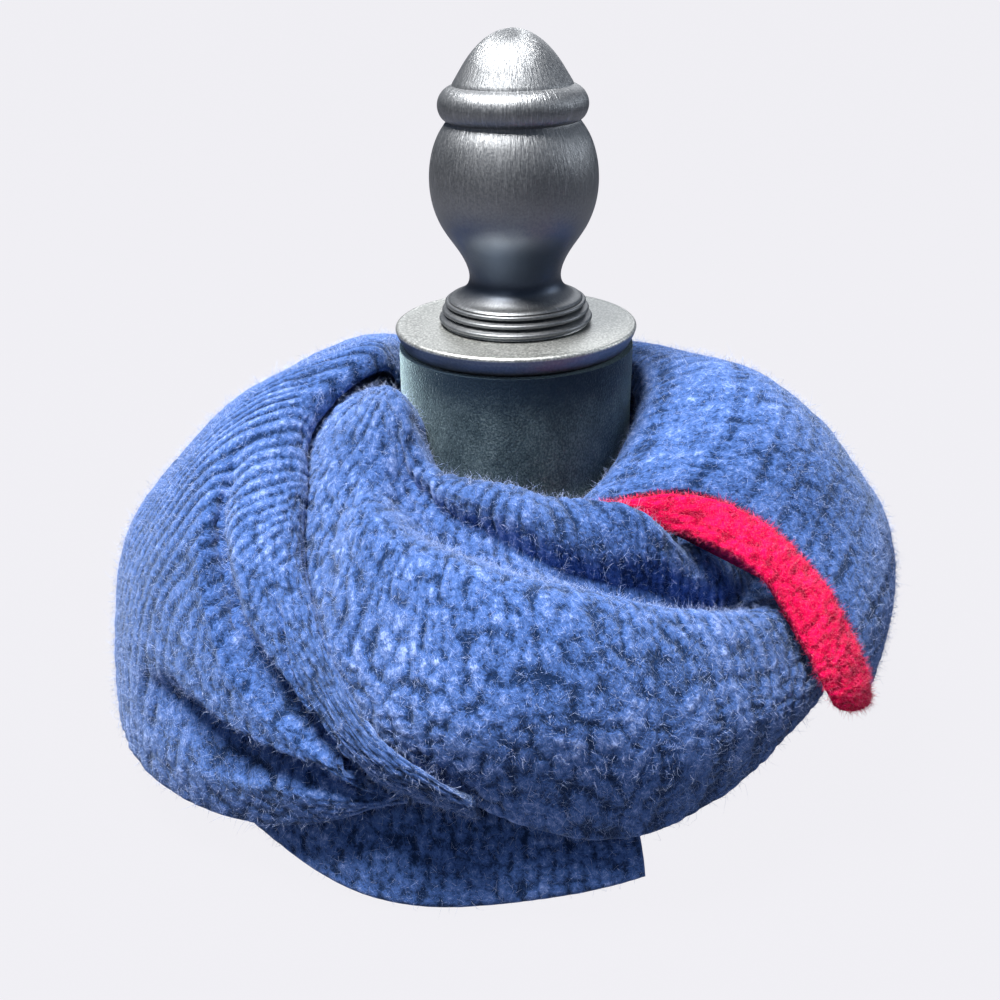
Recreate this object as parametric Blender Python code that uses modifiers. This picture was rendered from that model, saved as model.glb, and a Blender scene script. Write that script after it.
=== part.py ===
"""A chunky knitted scarf with a contrasting end band, wound round the neck of a table-top dress form.

Metres, +Z up. The origin is the middle of the form's flat base, and the front faces -Y.
Tables are in millimetres and degrees. Angles run anticlockwise seen from above, from +X:
0 is the viewer's right, 90 the back, 180 the left and 270 the front.

Each stretch of cloth is a wall. Its outer face is lofted through sections taken in upright planes
through the neck's axis, and each section is a smooth line through the named points of its row.
"""

import math
from collections import namedtuple

import bmesh
import bpy
import numpy as np
from mathutils import Matrix

MM = 0.001

# Driving sizes of the dress form, in millimetres.
NECK_RADIUS = 56.0
CAP_TOP_HEIGHT = 215.0
CAP_RADIUS = 57.5
CAP_THICKNESS = 10.0
CAP_TILT = 1.0
FINIAL_RADIUS = 38.8
FACE_GAP = 0.3
NECK_GAP = 0.8

# Driving sizes of the scarf, in millimetres.
CLOTH_THICKNESS = 4.5
BAND_THICKNESS = 6.0
BAND_BULGE = 3.5

# Gaps at the seams between two pieces of one wrap, in degrees round the neck.
SEAM = 0.7
BAND_SEAM = 0.3

# Sampling of the cloth walls: the steps across them, and the millimetres between two columns.
# The stretches with folds have the fine values.
FINE_ACROSS = 26
FINE_COLUMNS = 14.5
PLAIN_ACROSS = 18
PLAIN_COLUMNS = 20.0
TURNED_STEPS = 44

# The form's half width and half depth at each height, and how far its middle lies to the back.
FormRow = namedtuple("FormRow", "height half_width half_depth set_back")
FORM_ROWS = [
    FormRow(0, 126, 86, 4),
    FormRow(30, 140, 96, 5),
    FormRow(60, 146, 100, 4),
    FormRow(90, 135, 93, 2),
    FormRow(110, 109.5, 82, 0),
    FormRow(124, 84, 69, 0),
    FormRow(134, 67, 61, 0),
    FormRow(142, 60, 57.4, 0),
    FormRow(155, 56.5, 56.2, 0),
    FormRow(170, 56, 56, 0),
    FormRow(204.7, 56, 56, 0),
]

# Each row of a cloth table is one section: its angle at the hem and the (radius, height) of each
# named line that runs along the cloth, from its edge at the neck to its hem.
# Lean is by how many degrees the neck edge of a section lags behind its hem, because the rows of
# knitting fan out there. LEAN_SHARES says how much of it each named line has.
# The outer wrap runs from the band at the right front over the right shoulder, round the back
# and over the left shoulder, and slides off down the left front.
OuterRow = namedtuple("OuterRow", "angle lean inner lip crest slope side wide hem")
OUTER_ROWS = [
    OuterRow(-42.3, 28.4, (69, 135), (76, 138.5), (89, 141.5), (131, 138.5), (160, 117), (180, 93), (187, 76)),
    OuterRow(-33, 35, (63, 141), (70, 147), (93, 157), (131, 151), (162, 127), (184, 98), (189, 70)),
    OuterRow(-20, 24, (59, 152), (65, 163), (95, 177), (134, 174), (165, 150), (188, 104), (184, 62)),
    OuterRow(-5, 12, (57, 168), (63, 181), (93, 194), (133, 184), (165, 152), (188, 105), (181, 60)),
    OuterRow(15, 5, (57, 176), (63, 189), (89, 194), (127.5, 170.5), (158.5, 136.5), (183, 99), (177, 58)),
    OuterRow(40, 0, (57, 171), (63, 184), (86, 187.5), (120, 159.5), (148, 126), (171, 91), (167, 56)),
    OuterRow(65, 0, (57, 167), (63, 180), (85, 184), (115.5, 159), (143, 125), (161, 90), (158, 54)),
    OuterRow(90, 0, (57, 166), (63, 178), (85, 182), (115, 165), (140, 130), (156, 90), (152, 52)),
    OuterRow(120, 0, (57, 170), (63, 183), (84, 185), (116, 165), (146, 128), (167, 87), (164, 50)),
    OuterRow(150, 0, (57, 178), (63, 192), (85.5, 195), (125, 172), (160.5, 134), (187, 87), (184, 46)),
    OuterRow(172, 0, (57, 182), (63, 201), (87.5, 198), (131, 178.5), (170, 142.5), (196.5, 99.5), (201.5, 40.5)),
    OuterRow(187, 0, (69, 191), (73, 198), (93, 196), (131.5, 181), (171, 144.5), (196.5, 103), (205, 36.5)),
    OuterRow(192, 0, (83, 184.5), (87, 191), (104, 189), (137.5, 177.5), (172, 144.5), (196.5, 102), (205, 34.5)),
    OuterRow(197, 0, (97, 172.5), (100, 179.5), (111, 183), (143, 172), (172.5, 142), (196.5, 99), (205, 32.5)),
    OuterRow(207, 0, (107, 156), (110, 162.5), (120, 166.5), (148, 159.5), (174, 132.5), (195, 91), (202, 28)),
    OuterRow(216, 0, (117, 144), (120, 150.5), (129, 153.5), (153, 146), (173.5, 122.5), (190.5, 83), (195.5, 25.5)),
    OuterRow(225, 0, (130, 131), (133, 136.5), (141, 139.5), (159, 131), (175.5, 107.5), (186.5, 71), (187.5, 25.5)),
    OuterRow(234, 0, (144, 118), (147, 123), (154, 123), (165, 114), (176.5, 91.5), (182, 62.5), (179.5, 30.5)),
    OuterRow(243, 0, (160, 103), (163, 106), (167, 105), (172, 96), (176, 79.5), (176.5, 57), (171.5, 40)),
    OuterRow(250, 0, (169, 88), (172, 90), (175, 87), (176, 79), (173, 67), (168, 55), (160, 46)),
    OuterRow(257, 0, (173, 77), (175, 78), (176, 74), (174, 67), (169, 59), (163, 53), (155, 48)),
    OuterRow(266, 0, (171, 58), (172, 58), (172, 56), (171, 53), (169, 50), (166, 46), (162, 43)),
]
LEAN_SHARES = (1.0, 0.87, 0.5, 0.15, 0.06, 0.07, 0.0)
BAND_ANGLES = (-42.3, -33.0)
RIGHT_WRAP_END = 66.0
BACK_WRAP_END = 150.0
OUTER_END = 264.0

# The front wrap comes out from under the outer wrap at the left of the neck, folds over itself
# along the collar roll, and sweeps across the front to lie under the end band.
FrontRow = namedtuple("FrontRow", "angle lean inner lip roll crease ridge belly low hem")
FRONT_ROWS = [
    FrontRow(165, 0, (57, 165), (62, 174), (67, 177), (74, 177), (86, 172), (104, 156), (118, 137), (128, 120)),
    FrontRow(190, 0, (57, 172), (62, 183), (68, 186.5), (75, 185.5), (87, 180.5), (105, 162), (120, 140), (132, 118)),
    FrontRow(203, 0, (57, 177), (64, 189), (69, 191), (77, 188), (90, 177), (109, 152.5), (128, 126), (139, 104)),
    FrontRow(212, 0, (57, 180), (66, 192), (71, 192), (79, 188), (92, 173), (113, 147.5), (134, 119), (146, 91)),
    FrontRow(222, 0, (57, 174), (67, 186), (72, 185), (81, 173), (96, 162), (119.5, 140), (141.5, 110.5), (150, 81)),
    FrontRow(230, 0, (57, 156), (68, 169), (75, 168), (84, 154), (102, 157), (126.5, 135.2), (146.5, 105.3), (152, 74)),
    FrontRow(237, 0, (58, 149), (64, 160), (75, 163), (86, 147), (106, 154), (136, 131), (154, 100), (155, 69)),
    FrontRow(244, 0, (58.5, 149), (63, 160), (77, 162), (90, 142), (111, 150), (142, 125), (158, 94), (157.5, 64.5)),
    FrontRow(256, 0, (59, 148), (64, 159), (79, 161), (94, 138), (117, 147), (150, 122), (167, 92), (162, 64.5)),
    FrontRow(270, 0, (60, 147), (66, 158), (82, 158), (98, 133), (122, 142), (155, 123), (171, 92), (164, 46)),
    FrontRow(281, 0, (66, 148), (70, 156), (86, 154), (101, 125), (124, 136), (158, 118), (173, 84), (167, 37)),
    FrontRow(289, 0, (70, 147), (74, 155), (89, 151), (105, 119), (128, 131), (160, 112), (174, 80), (169, 36)),
    FrontRow(297, 0, (85, 151.5), (89, 156.5), (99, 150.5), (113, 114), (134, 125), (163, 106), (175, 78), (170, 42)),
    FrontRow(304, 0, (98, 147), (101.5, 152), (109.5, 147), (119, 111), (139, 121), (164, 102), (174, 79), (171, 50)),
    FrontRow(311, 0, (104, 131), (107, 135.5), (113, 134), (124, 107), (144, 116), (165, 98), (174, 79), (171, 58)),
    FrontRow(322, 0, (94, 133), (99, 139), (112, 134), (130, 108), (148, 112), (164, 97), (172, 82), (172, 66)),
    FrontRow(335, 0, (82, 134), (86, 140), (104, 138), (125, 117), (141, 112), (157, 98), (165, 81), (163, 65)),
    FrontRow(352, 0, (78, 140), (82, 146), (100, 146), (118, 130), (134, 120), (150, 102), (158, 82), (158, 67)),
]
FRONT_START = 168.0
FRONT_END = 342.0

# The under wrap starts below the right side, goes round the back and shows again as the free
# tail along the bottom of the front.
UnderRow = namedtuple("UnderRow", "angle lean top upper mid low hem")
UNDER_ROWS = [
    UnderRow(-25, 0, (116, 112), (130, 98), (142, 82), (150, 68), (152, 56)),
    UnderRow(0, 0, (120, 114), (140, 98), (156, 74), (168, 52), (170, 34)),
    UnderRow(45, 0, (114, 116), (136, 95), (151, 70), (159, 46), (160, 24)),
    UnderRow(90, 0, (98, 116), (117, 95), (131, 72), (142, 48), (146, 22)),
    UnderRow(135, 0, (110, 116), (132, 95), (151, 70), (162, 46), (166, 22)),
    UnderRow(180, 0, (124, 106), (147, 90), (166, 70), (179, 50), (182, 32)),
    UnderRow(205, 0, (124, 102), (143, 86), (161, 64), (174, 41.5), (179, 23)),
    UnderRow(227, 0, (118, 92), (138, 74), (154.5, 53.5), (169, 32.5), (174.5, 17)),
    UnderRow(245, 0, (114, 86), (134, 66), (150.5, 43.5), (167, 21), (174, 6.5)),
    UnderRow(257, 0, (112, 84), (134, 62), (150, 41), (164.5, 18.5), (171, 4.5)),
    UnderRow(270, 0, (112, 84), (134, 62), (149, 42), (162, 23), (168, 8)),
    UnderRow(290, 0, (114, 86), (136, 64), (151, 45), (164, 29), (169, 16)),
]
UNDER_START = -14.0
UNDER_END = 289.0
TAIL_START = 205.0

# The deep folds of the left front: where each crease runs (the angle, and the place across the
# cloth from 0 at the neck to 1 at the hem), how deep it is, and how far the cloth draws in
# towards it from the neck side and from the hem side.
FoldRow = namedtuple("FoldRow", "angle across depth neck_side hem_side")
OUTER_FOLDS = [
    [
        FoldRow(200, 0.27, 0, 16, 12),
        FoldRow(208, 0.34, 4, 18, 12),
        FoldRow(216, 0.46, 10, 22, 12),
        FoldRow(226, 0.53, 15, 22, 12),
        FoldRow(236, 0.53, 16, 20, 12),
        FoldRow(244, 0.55, 12, 14, 14),
        FoldRow(251, 0.66, 5, 12, 14),
        FoldRow(257, 0.75, 0, 12, 14),
    ],
    [
        FoldRow(208, 0.84, 0, 14, 18),
        FoldRow(218, 0.81, 8, 13, 20),
        FoldRow(229, 0.78, 13, 12, 20),
        FoldRow(238, 0.72, 13, 12, 18),
        FoldRow(246, 0.74, 7, 12, 14),
        FoldRow(253, 0.82, 0, 12, 12),
    ],
]

COLOURS = {
    "blue_knit": (0.105, 0.165, 0.42),
    "red_knit": (0.75, 0.008, 0.045),
    "form_cloth": (0.055, 0.085, 0.09),
    "cap_metal": (0.2, 0.205, 0.2),
}
ROUGHNESS = {"blue_knit": 0.9, "red_knit": 0.9, "form_cloth": 0.95, "cap_metal": 0.38}
METALLIC = {"blue_knit": 0.0, "red_knit": 0.0, "form_cloth": 0.0, "cap_metal": 0.9}


def clear_scene():
    for obj in list(bpy.data.objects):
        bpy.data.objects.remove(obj)


def material(name):
    found = bpy.data.materials.get(name)
    if found:
        return found
    made = bpy.data.materials.new(name)
    made.use_nodes = True
    shader = made.node_tree.nodes["Principled BSDF"]
    shader.inputs["Base Color"].default_value = (*COLOURS[name], 1)
    shader.inputs["Roughness"].default_value = ROUGHNESS[name]
    shader.inputs["Metallic"].default_value = METALLIC[name]
    return made


def add_object(name, mesh, slot, collection):
    obj = bpy.data.objects.new(name, mesh)
    mesh.materials.append(material(slot))
    collection.objects.link(obj)
    return obj


def smooth_line(at, values, wanted):
    """A natural cubic spline through values (one column each) at the rising places at, read at wanted."""
    at = np.asarray(at, float)
    values = np.asarray(values, float)
    count = len(at)
    step = np.diff(at)
    slope = np.diff(values, axis=0) / step[:, None]
    system = np.eye(count)
    right = np.zeros_like(values)
    for i in range(1, count - 1):
        system[i, i - 1 : i + 2] = step[i - 1], 2 * (step[i - 1] + step[i]), step[i]
        right[i] = 3 * (slope[i] - slope[i - 1])
    bend = np.linalg.solve(system, right)
    i = np.clip(np.searchsorted(at, wanted) - 1, 0, count - 2)
    t = (wanted - at[i])[:, None]
    h = step[i][:, None]
    linear = slope[i] - h * (2 * bend[i] + bend[i + 1]) / 3
    return values[i] + t * (linear + t * (bend[i] + t * (bend[i + 1] - bend[i]) / (3 * h)))


def section_points(rows):
    """The rows' points as an array: row, named line, (radius, height)."""
    return np.array([row[2:] for row in rows], float)


def lean_shares(rows):
    count = len(rows[0]) - 2
    return np.array(LEAN_SHARES if count == len(LEAN_SHARES) else [0.0] * count)


def knot_places(rows):
    """Where each named line lies across the cloth, from 0 to 1, by its average distance."""
    points = section_points(rows)
    lengths = np.linalg.norm(np.diff(points, axis=1), axis=2).mean(axis=0)
    places = np.concatenate([[0], np.cumsum(lengths)])
    return places / places[-1]


def section_grid(rows, angles, places):
    """The smooth surface's (radius, height, turn) for each pair of an angle and a place across."""
    points = section_points(rows)
    at = [row.angle for row in rows]
    shares = lean_shares(rows)
    turns = np.array([[row.angle - row.lean * share for share in shares] for row in rows])
    knots = np.concatenate([points, turns[:, :, None]], axis=2)
    along = smooth_line(at, knots.reshape(len(rows), -1), angles).reshape(len(angles), -1, 3)
    across = along.transpose(1, 0, 2).reshape(knots.shape[1], -1)
    grid = smooth_line(knot_places(rows), across, places)
    grid = grid.reshape(len(places), len(angles), 3).transpose(1, 0, 2)
    grid[:, :, 0] = np.maximum(grid[:, :, 0], NECK_RADIUS + NECK_GAP)
    return grid


def cylinder_points(grid):
    turn = np.radians(grid[:, :, 2])
    radius = grid[:, :, 0]
    return np.stack([radius * np.cos(turn), radius * np.sin(turn), grid[:, :, 1]], axis=2)


def fold_depth(folds, angles, places, width):
    """How far the cloth is drawn in by its folds, in millimetres, over the same grid."""
    depth = np.zeros((len(angles), len(places)))
    for fold in folds:
        table = np.array(fold, float)
        line = np.stack([np.interp(angles, table[:, 0], table[:, i]) for i in range(1, 5)])
        deep = np.where((angles > table[0, 0]) & (angles < table[-1, 0]), line[1], 0)[:, None]
        away = (places[None, :] - line[0][:, None]) * width
        reach = np.where(away < 0, line[2][:, None], line[3][:, None])
        near = np.clip(1 - np.abs(away) / reach, 0, 1)
        depth = np.maximum(depth, deep * near**2 * (3 - 2 * near))
    return depth


def cloth_surface(rows, angles, places, folds=()):
    """The outer face of a stretch of cloth, in millimetres, over a grid of angles and places."""
    points = cylinder_points(section_grid(rows, angles, places))
    if folds:
        lines = section_points(rows)
        width = np.linalg.norm(np.diff(lines, axis=1), axis=2).sum(axis=1).mean()
        points = points - outward(points) * fold_depth(folds, angles, places, width)[:, :, None]
    return points


def outward(points):
    """Unit normals of a grid of points that runs anticlockwise and from the neck to the hem."""
    along = np.gradient(points, axis=0)
    across = np.gradient(points, axis=1)
    normal = np.cross(across, along)
    return normal / np.linalg.norm(normal, axis=2, keepdims=True)


def grid_mesh(name, points):
    """A smooth-shaded open surface from a grid of points in millimetres, facing outwards."""
    rows, columns = points.shape[:2]
    index = np.arange(rows * columns).reshape(rows, columns)
    corners = [index[:-1, :-1], index[:-1, 1:], index[1:, 1:], index[1:, :-1]]
    faces = np.stack(corners, axis=-1).reshape(-1, 4)
    mesh = bpy.data.meshes.new(name)
    mesh.from_pydata((points.reshape(-1, 3) * MM).tolist(), [], faces.tolist())
    mesh.shade_smooth()
    return mesh


def cloth_wall(name, points, slot, collection, thickness=CLOTH_THICKNESS):
    """One stretch of cloth: the open outer face with its thickness laid inwards."""
    obj = add_object(name, grid_mesh(name, points), slot, collection)
    wall = obj.modifiers.new("wall", "SOLIDIFY")
    wall.thickness = thickness * MM
    wall.offset = -1.0
    wall.use_quality_normals = True
    return obj


def columns_between(start, end, radius, step):
    """Angles from start to end, about one step apart at that radius."""
    count = max(4, round(math.radians(end - start) * radius / step))
    return np.linspace(start, end, count + 1)


def end_band(collection):
    """The contrasting last rows of the scarf, a little thicker than the rest."""
    start, end = BAND_ANGLES
    places = np.linspace(0, 1, PLAIN_ACROSS + 1)
    share = np.linspace(0, 1, 6)
    points = cloth_surface(OUTER_ROWS, start + (end - start) * share, places)
    rise = BAND_BULGE * np.sin(math.pi * share) ** 0.7 + (BAND_THICKNESS - CLOTH_THICKNESS)
    points = points + outward(points) * rise[:, None, None]
    cloth_wall("end_band", points, "red_knit", collection, BAND_THICKNESS)


def outer_wrap(collection):
    stretches = [
        ("right_wrap", BAND_ANGLES[1] + BAND_SEAM, RIGHT_WRAP_END - SEAM / 2, PLAIN_ACROSS, PLAIN_COLUMNS),
        ("back_wrap", RIGHT_WRAP_END + SEAM / 2, BACK_WRAP_END - SEAM / 2, PLAIN_ACROSS, PLAIN_COLUMNS),
        ("left_wrap", BACK_WRAP_END + SEAM / 2, OUTER_END, FINE_ACROSS, FINE_COLUMNS),
    ]
    for name, start, end, across, step in stretches:
        angles = columns_between(start, end, 135, step)
        points = cloth_surface(OUTER_ROWS, angles, np.linspace(0, 1, across + 1), OUTER_FOLDS)
        cloth_wall(name, points, "blue_knit", collection)


def front_wrap(collection):
    angles = columns_between(FRONT_START, FRONT_END, 130, FINE_COLUMNS)
    points = cloth_surface(FRONT_ROWS, angles, np.linspace(0, 1, FINE_ACROSS - 3))
    cloth_wall("front_wrap", points, "blue_knit", collection)


def under_wrap(collection):
    stretches = [
        ("under_wrap", UNDER_START, TAIL_START - SEAM / 2),
        ("front_tail", TAIL_START + SEAM / 2, UNDER_END),
    ]
    for name, start, end in stretches:
        angles = columns_between(start, end, 150, PLAIN_COLUMNS)
        points = cloth_surface(UNDER_ROWS, angles, np.linspace(0, 1, 9))
        cloth_wall(name, points, "blue_knit", collection)


def form_bust(collection):
    """The form's shoulders and neck: ellipses through the rows, closed by a flat base and neck top."""
    table = np.array([row[1:] for row in FORM_ROWS], float)
    heights = np.array([row.height for row in FORM_ROWS], float)
    levels = np.concatenate([np.linspace(0, 170, 17), [188, heights[-1]]])
    sizes = smooth_line(heights, table, levels)
    turn = np.linspace(0, 2 * math.pi, TURNED_STEPS, endpoint=False)
    mesh = bmesh.new()
    rings = []
    for height, (half_width, half_depth, set_back) in zip(levels, sizes):
        tilt = math.tan(math.radians(CAP_TILT)) if height > 190 else 0
        across = half_width * np.cos(turn)
        deep = half_depth * np.sin(turn) + set_back
        ring = np.stack([across, deep, height + tilt * across], axis=1) * MM
        rings.append([mesh.verts.new(point) for point in ring])
    for low, high in zip(rings, rings[1:]):
        for i in range(TURNED_STEPS):
            j = (i + 1) % TURNED_STEPS
            mesh.faces.new((low[i], low[j], high[j], high[i]))
    mesh.faces.new(reversed(rings[0]))
    mesh.faces.new(rings[-1])
    made = bpy.data.meshes.new("form_bust")
    mesh.to_mesh(made)
    mesh.free()
    made.shade_smooth()
    made.set_sharp_from_angle(angle=math.radians(50))
    add_object("form_bust", made, "form_cloth", collection)


def turned(name, profile, slot, collection):
    """A turned piece: a profile of (radius, height) that runs down its outer side from the axis."""
    mesh = bpy.data.meshes.new(name)
    points = [(radius * MM, 0, height * MM) for radius, height in profile]
    edges = [(i, i + 1) for i in range(len(points) - 1)]
    mesh.from_pydata(points, edges, [])
    obj = add_object(name, mesh, slot, collection)
    spin = obj.modifiers.new("spin", "SCREW")
    spin.angle = 2 * math.pi
    spin.steps = TURNED_STEPS
    spin.render_steps = TURNED_STEPS
    spin.use_merge_vertices = True
    spin.merge_threshold = 0.00001
    spin.use_smooth_shade = True
    pivot = Matrix.Translation((0, 0, (CAP_TOP_HEIGHT - CAP_THICKNESS) * MM))
    obj.matrix_world = pivot @ Matrix.Rotation(math.radians(-CAP_TILT), 4, "Y") @ pivot.inverted()
    return obj


def arc(centre_r, centre_z, radius_r, radius_z, start, end, count):
    """Points of an elliptical arc between two angles in degrees, 0 pointing outwards and 90 up."""
    turn = np.radians(np.linspace(start, end, count))
    return [(centre_r + radius_r * math.cos(t), centre_z + radius_z * math.sin(t)) for t in turn]


# The stepped collar on the cap: the radius and the top height above the cap of each step.
Step = namedtuple("Step", "radius top edge")
COLLAR_STEPS = [Step(33.4, 11.6, 1.0), Step(34.9, 8.0, 1.0), Step(36.4, 4.0, 1.0)]

# The vase-shaped finial, from its wide foot to the groove below the ring: the height above the
# cap's top and the radius.
VaseRow = namedtuple("VaseRow", "height radius")
VASE_ROWS = [
    VaseRow(12.0, 31.6),
    VaseRow(13.4, 29.0),
    VaseRow(15.6, 25.4),
    VaseRow(17.6, 23.2),
    VaseRow(21.0, 21.7),
    VaseRow(28.0, 22.6),
    VaseRow(35.5, 26.4),
    VaseRow(46.0, 33.4),
    VaseRow(57.5, 37.8),
    VaseRow(69.0, FINIAL_RADIUS),
    VaseRow(80.5, 37.0),
    VaseRow(88.5, 33.6),
    VaseRow(93.0, 30.6),
]
# The ring and the egg-shaped dome above the groove, run up their outer side.
CROWN_ROWS = [
    VaseRow(94.4, 31.4),
    VaseRow(97.2, 33.4),
    VaseRow(101.0, 34.0),
    VaseRow(104.6, 32.6),
    VaseRow(107.4, 30.0),
    VaseRow(109.6, 27.0),
    VaseRow(112.0, 26.2),
    VaseRow(116.0, 24.9),
    VaseRow(120.0, 22.8),
    VaseRow(124.0, 19.6),
    VaseRow(127.6, 15.6),
    VaseRow(130.4, 10.8),
    VaseRow(132.0, 5.4),
]
DOME_TOP = 132.5


def neck_cap(collection):
    """The cap plate on the neck, the stepped collar and the finial, each a turned piece."""
    top = CAP_TOP_HEIGHT
    bottom = top - CAP_THICKNESS
    plate = [(0, top + 0.4), (38, top + 0.2)]
    plate += arc(CAP_RADIUS - 1.6, top - 1.6, 1.6, 1.6, 90, 10, 4)
    plate += arc(CAP_RADIUS - 4.5, bottom + 4.5, 4.5, 4.5, -10, -90, 4)
    plate += [(0, bottom)]
    turned("cap_plate", plate, "cap_metal", collection)

    collar = [(0, top + COLLAR_STEPS[0].top)]
    for step in COLLAR_STEPS:
        middle = top + step.top - step.edge
        collar += arc(step.radius - step.edge, middle, step.edge, step.edge, 90, -30, 4)
        collar += [(step.radius - step.edge - 0.6, middle - 1.2)]
    base = top + 0.4 + FACE_GAP
    collar += [(COLLAR_STEPS[-1].radius - 1.6, base), (0, base)]
    turned("cap_collar", collar, "cap_metal", collection)

    foot = top + COLLAR_STEPS[0].top + FACE_GAP
    levels = np.linspace(21.0, VASE_ROWS[-1].height, 15)
    radii = smooth_line([row.height for row in VASE_ROWS], [(row.radius,) for row in VASE_ROWS], levels)[:, 0]
    finial = [(0, top + DOME_TOP)]
    finial += [(row.radius, top + row.height) for row in reversed(CROWN_ROWS)]
    finial += [(radius, top + level) for radius, level in zip(radii[::-1], levels[::-1])]
    finial += [(row.radius, top + row.height) for row in reversed(VASE_ROWS[:4])]
    finial += [(VASE_ROWS[0].radius - 0.3, foot), (0, foot)]
    turned("finial", finial, "cap_metal", collection)


def build():
    clear_scene()
    collection = bpy.data.collections.new("scarf_on_form")
    bpy.context.scene.collection.children.link(collection)
    form_bust(collection)
    neck_cap(collection)
    under_wrap(collection)
    front_wrap(collection)
    outer_wrap(collection)
    end_band(collection)


build()
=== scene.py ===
"""Looks of a chunky brushed-knit scarf with a crimson end band, wound round a table-top dress form.

The scene is in metres, +Z up, and the front faces -Y. Tables are in millimetres and degrees, and
angles run anticlockwise seen from above, from +X: 0 is the viewer's right, 90 the back, 180 the
left and 270 the front. Each stretch of cloth is a thin closed shell on the form of its solid: a
smooth surface through the same named lines, with the rows and stitches of the knitting raised in
its outer face.
"""

import math
from collections import namedtuple

import bpy
import numpy as np
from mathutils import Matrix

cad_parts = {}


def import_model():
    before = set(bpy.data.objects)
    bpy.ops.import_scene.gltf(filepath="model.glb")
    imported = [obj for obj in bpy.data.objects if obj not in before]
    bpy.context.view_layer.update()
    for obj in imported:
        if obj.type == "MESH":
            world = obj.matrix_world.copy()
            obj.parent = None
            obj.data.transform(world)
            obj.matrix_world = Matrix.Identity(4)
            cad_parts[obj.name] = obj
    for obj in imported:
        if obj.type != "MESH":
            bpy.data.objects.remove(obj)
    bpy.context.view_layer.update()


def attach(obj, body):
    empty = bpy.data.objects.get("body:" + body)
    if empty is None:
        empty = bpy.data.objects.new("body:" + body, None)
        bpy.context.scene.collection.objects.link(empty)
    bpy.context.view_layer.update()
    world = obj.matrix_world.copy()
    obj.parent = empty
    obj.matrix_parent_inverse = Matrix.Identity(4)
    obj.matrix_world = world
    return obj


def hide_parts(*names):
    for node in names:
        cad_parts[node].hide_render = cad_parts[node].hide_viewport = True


MM = 0.001


def table(kind, rows):
    """Rows of a table, each with the named columns of its kind."""
    return [kind(*row) for row in rows]


# Driving sizes of the dress form, in millimetres, and its cap's tilt in degrees.
NECK_RADIUS = 56.0
CAP_TOP_HEIGHT = 215.0
CAP_RADIUS = 57.5
CAP_THICKNESS = 10.0
CAP_TILT = 1.0
FINIAL_RADIUS = 38.8
FACE_GAP = 0.3
NECK_GAP = 0.8

# The form's cover: its levels from top to base, and the height from which, and over which, the
# neck's top takes up the cap's tilt.
FORM_LEVELS = 100
NECK_LEAN_FROM = 190.0
NECK_LEAN_OVER = 10.0

# Driving sizes of the scarf, in millimetres.
CLOTH_THICKNESS = 4.5
BAND_THICKNESS = 6.0
BAND_BULGE = 3.5

# Gaps at the seams between two pieces of one wrap, in degrees round the neck.
SEAM = 0.7
BAND_SEAM = 0.3

# The knitting: degrees round the neck from one row to the next, millimetres between stitches, how
# deep it is and how far it stands out, and the share of height that the plain inner face counts as.
ROW_TURN = 2.1
STITCH = 5.6
RELIEF = 1.9
RELIEF_TOP = 0.35
INNER_RELIEF = 0.6

# The form's half width and half depth at each height, and how far its middle lies to the back.
FormRow = namedtuple("FormRow", "height half_width half_depth set_back")
FORM_ROWS = table(FormRow, [
    (0, 126, 86, 4),
    (30, 140, 96, 5),
    (60, 146, 100, 4),
    (90, 135, 93, 2),
    (110, 109.5, 82, 0),
    (124, 84, 69, 0),
    (134, 67, 61, 0),
    (142, 60, 57.4, 0),
    (155, 56.5, 56.2, 0),
    (170, 56, 56, 0),
    (204.7, 56, 56, 0),
])

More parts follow.
